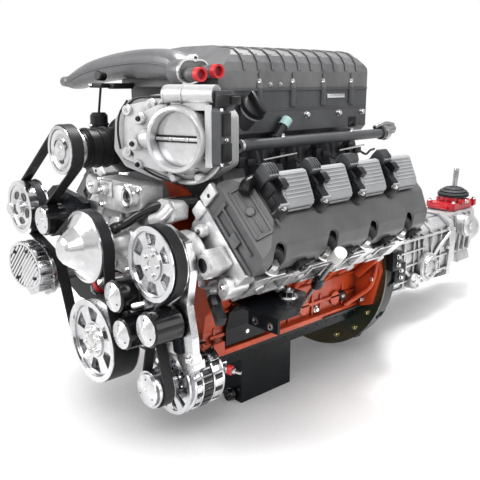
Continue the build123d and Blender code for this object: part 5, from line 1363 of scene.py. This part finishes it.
# Studio: pale floor, soft lamps and a world that is white to the camera and to reflections
floorShape = {"shadowEnds": 1.15, "lift": 0.14, "reach": 0.3}
floorMesh = bpy.data.meshes.new("floor")
floorMesh.from_pydata([(-12, -12, 0), (12, -12, 0), (12, 12, 0), (-12, 12, 0)], [], [(0, 1, 2, 3)])
floor = linked(bpy.data.objects.new("floor", floorMesh))
floorPaint = bpy.data.materials.new("floorPaint")
floorPaint.use_nodes = True
floorGraph = Graph(floorPaint.node_tree)
floorShader = floorPaint.node_tree.nodes["Principled BSDF"]
floorShader.inputs["Roughness"].default_value = 0.8
floorShader.inputs["Specular IOR Level"].default_value = 0.1
floorCoords = floorGraph.shader("TexCoord", output="Object")
floorNoise = floorGraph.shader("TexNoise", {"Vector": floorCoords, "Scale": 2.0})
# painted shadow: the floor's colour is darkened where the engine stands close above it
openness = floorGraph.node("ShaderNodeAmbientOcclusion", {"samples": 8}, {"Distance": floorShape["reach"]},
    output="AO")
clear = floorGraph.shader("MapRange", {0: openness, 1: 0.25, 2: 0.9})
floorGraph.feed(floorShader.inputs["Base Color"], floorGraph.mixColour(clear, rgb(0.3, 0.3, 0.31),
    floorGraph.mixColour(floorNoise, rgb(0.94, 0.94, 0.94), rgb(0.97, 0.97, 0.97))))
# near the engine the floor takes its shadow, further out it is the white background
away = floorGraph.node("ShaderNodeVectorMath", {"operation": "LENGTH"}, {0: floorCoords}, output=1)
far = floorGraph.node("ShaderNodeMapRange", {"interpolation_type": "SMOOTHSTEP"},
    {0: away, 1: floorShape["shadowEnds"] * 0.6, 2: floorShape["shadowEnds"]})
rays = floorPaint.node_tree.nodes.new("ShaderNodeLightPath")
looked = floorGraph.maths("MAXIMUM", Wire(floorGraph, rays.outputs["Is Camera Ray"]),
    floorGraph.maths("MAXIMUM", Wire(floorGraph, rays.outputs["Is Glossy Ray"]),
    Wire(floorGraph, rays.outputs["Is Transmission Ray"])))
white = floorGraph.shader("Emission", {"Color": rgb(1, 1, 1), "Strength": 1.0})
lift = floorGraph.shader("Emission", {"Color": rgb(1, 1, 1), "Strength": floorShape["lift"]})
near = floorGraph.shader("AddShader", {0: Wire(floorGraph, floorShader.outputs[0]), 1: lift})
seenFloor = floorGraph.shader("MixShader", {0: far, 1: near, 2: white})
# what the floor throws back up at the engine is greyer than what is seen
bounce = floorGraph.shader("BsdfDiffuse", {"Color": rgb(0.55, 0.55, 0.55)})
wholeFloor = floorGraph.shader("MixShader", {0: looked, 1: bounce, 2: seenFloor})
floorPaint.node_tree.links.new(wholeFloor.socket,
    floorPaint.node_tree.nodes["Material Output"].inputs["Surface"])
floor.data.materials.append(floorPaint)

world = bpy.data.worlds.new("studio")
bpy.context.scene.world = world
world.use_nodes = True
worldGraph = Graph(world.node_tree)
sky = world.node_tree.nodes["Background"]
path = world.node_tree.nodes.new("ShaderNodeLightPath")
mirrored = Wire(worldGraph, path.outputs["Is Glossy Ray"]) * 0.25
seen = worldGraph.maths("MAXIMUM", Wire(worldGraph, path.outputs["Is Camera Ray"]),
    worldGraph.maths("MAXIMUM", Wire(worldGraph, path.outputs["Is Transmission Ray"]), mirrored))
direction = worldGraph.shader("TexCoord", output="Generated")
heightOf = worldGraph.shader("SeparateXYZ", {0: direction}, output=2)
glow = worldGraph.node("ShaderNodeValToRGB",
    {"stops": [(0.0, rgb(0.35, 0.35, 0.35)), (0.42, rgb(0.05, 0.05, 0.05)), (0.5, rgb(0.08, 0.08, 0.08)),
    (0.62, rgb(0.8, 0.8, 0.8)), (0.8, rgb(0.45, 0.45, 0.45)), (1.0, rgb(0.9, 0.9, 0.9))]},
    {0: heightOf * 0.5 + 0.5})
worldGraph.feed(sky.inputs["Color"], worldGraph.mixColour(seen, glow, rgb(1, 1, 1)))
sky.inputs["Strength"].default_value = 1.0

lamps = {
    "keyLamp": {"place": (2.2, -2.4, 3.0), "size": 2.0, "energy": 84},
    "frontLamp": {"place": (-1.8, -3.2, 1.9), "size": 1.8, "energy": 76},
    "sideLamp": {"place": (3.2, 0.8, 1.6), "size": 2.0, "energy": 21},
    "topLamp": {"place": (-0.35, 0.75, 3.1), "size": 1.1, "energy": 104},
}
for label, lamp in lamps.items():
    light = bpy.data.lights.new(label, "AREA")
    light.size = lamp["size"]
    light.energy = lamp["energy"]
    item = linked(bpy.data.objects.new(label, light))
    item.location = lamp["place"]
    item.rotation_euler = (Vector((0, -0.2, 0.4)) - Vector(lamp["place"])).to_track_quat("-Z", "Y").to_euler()
bpy.context.scene.view_settings.view_transform = "Standard"
print("studio ready")
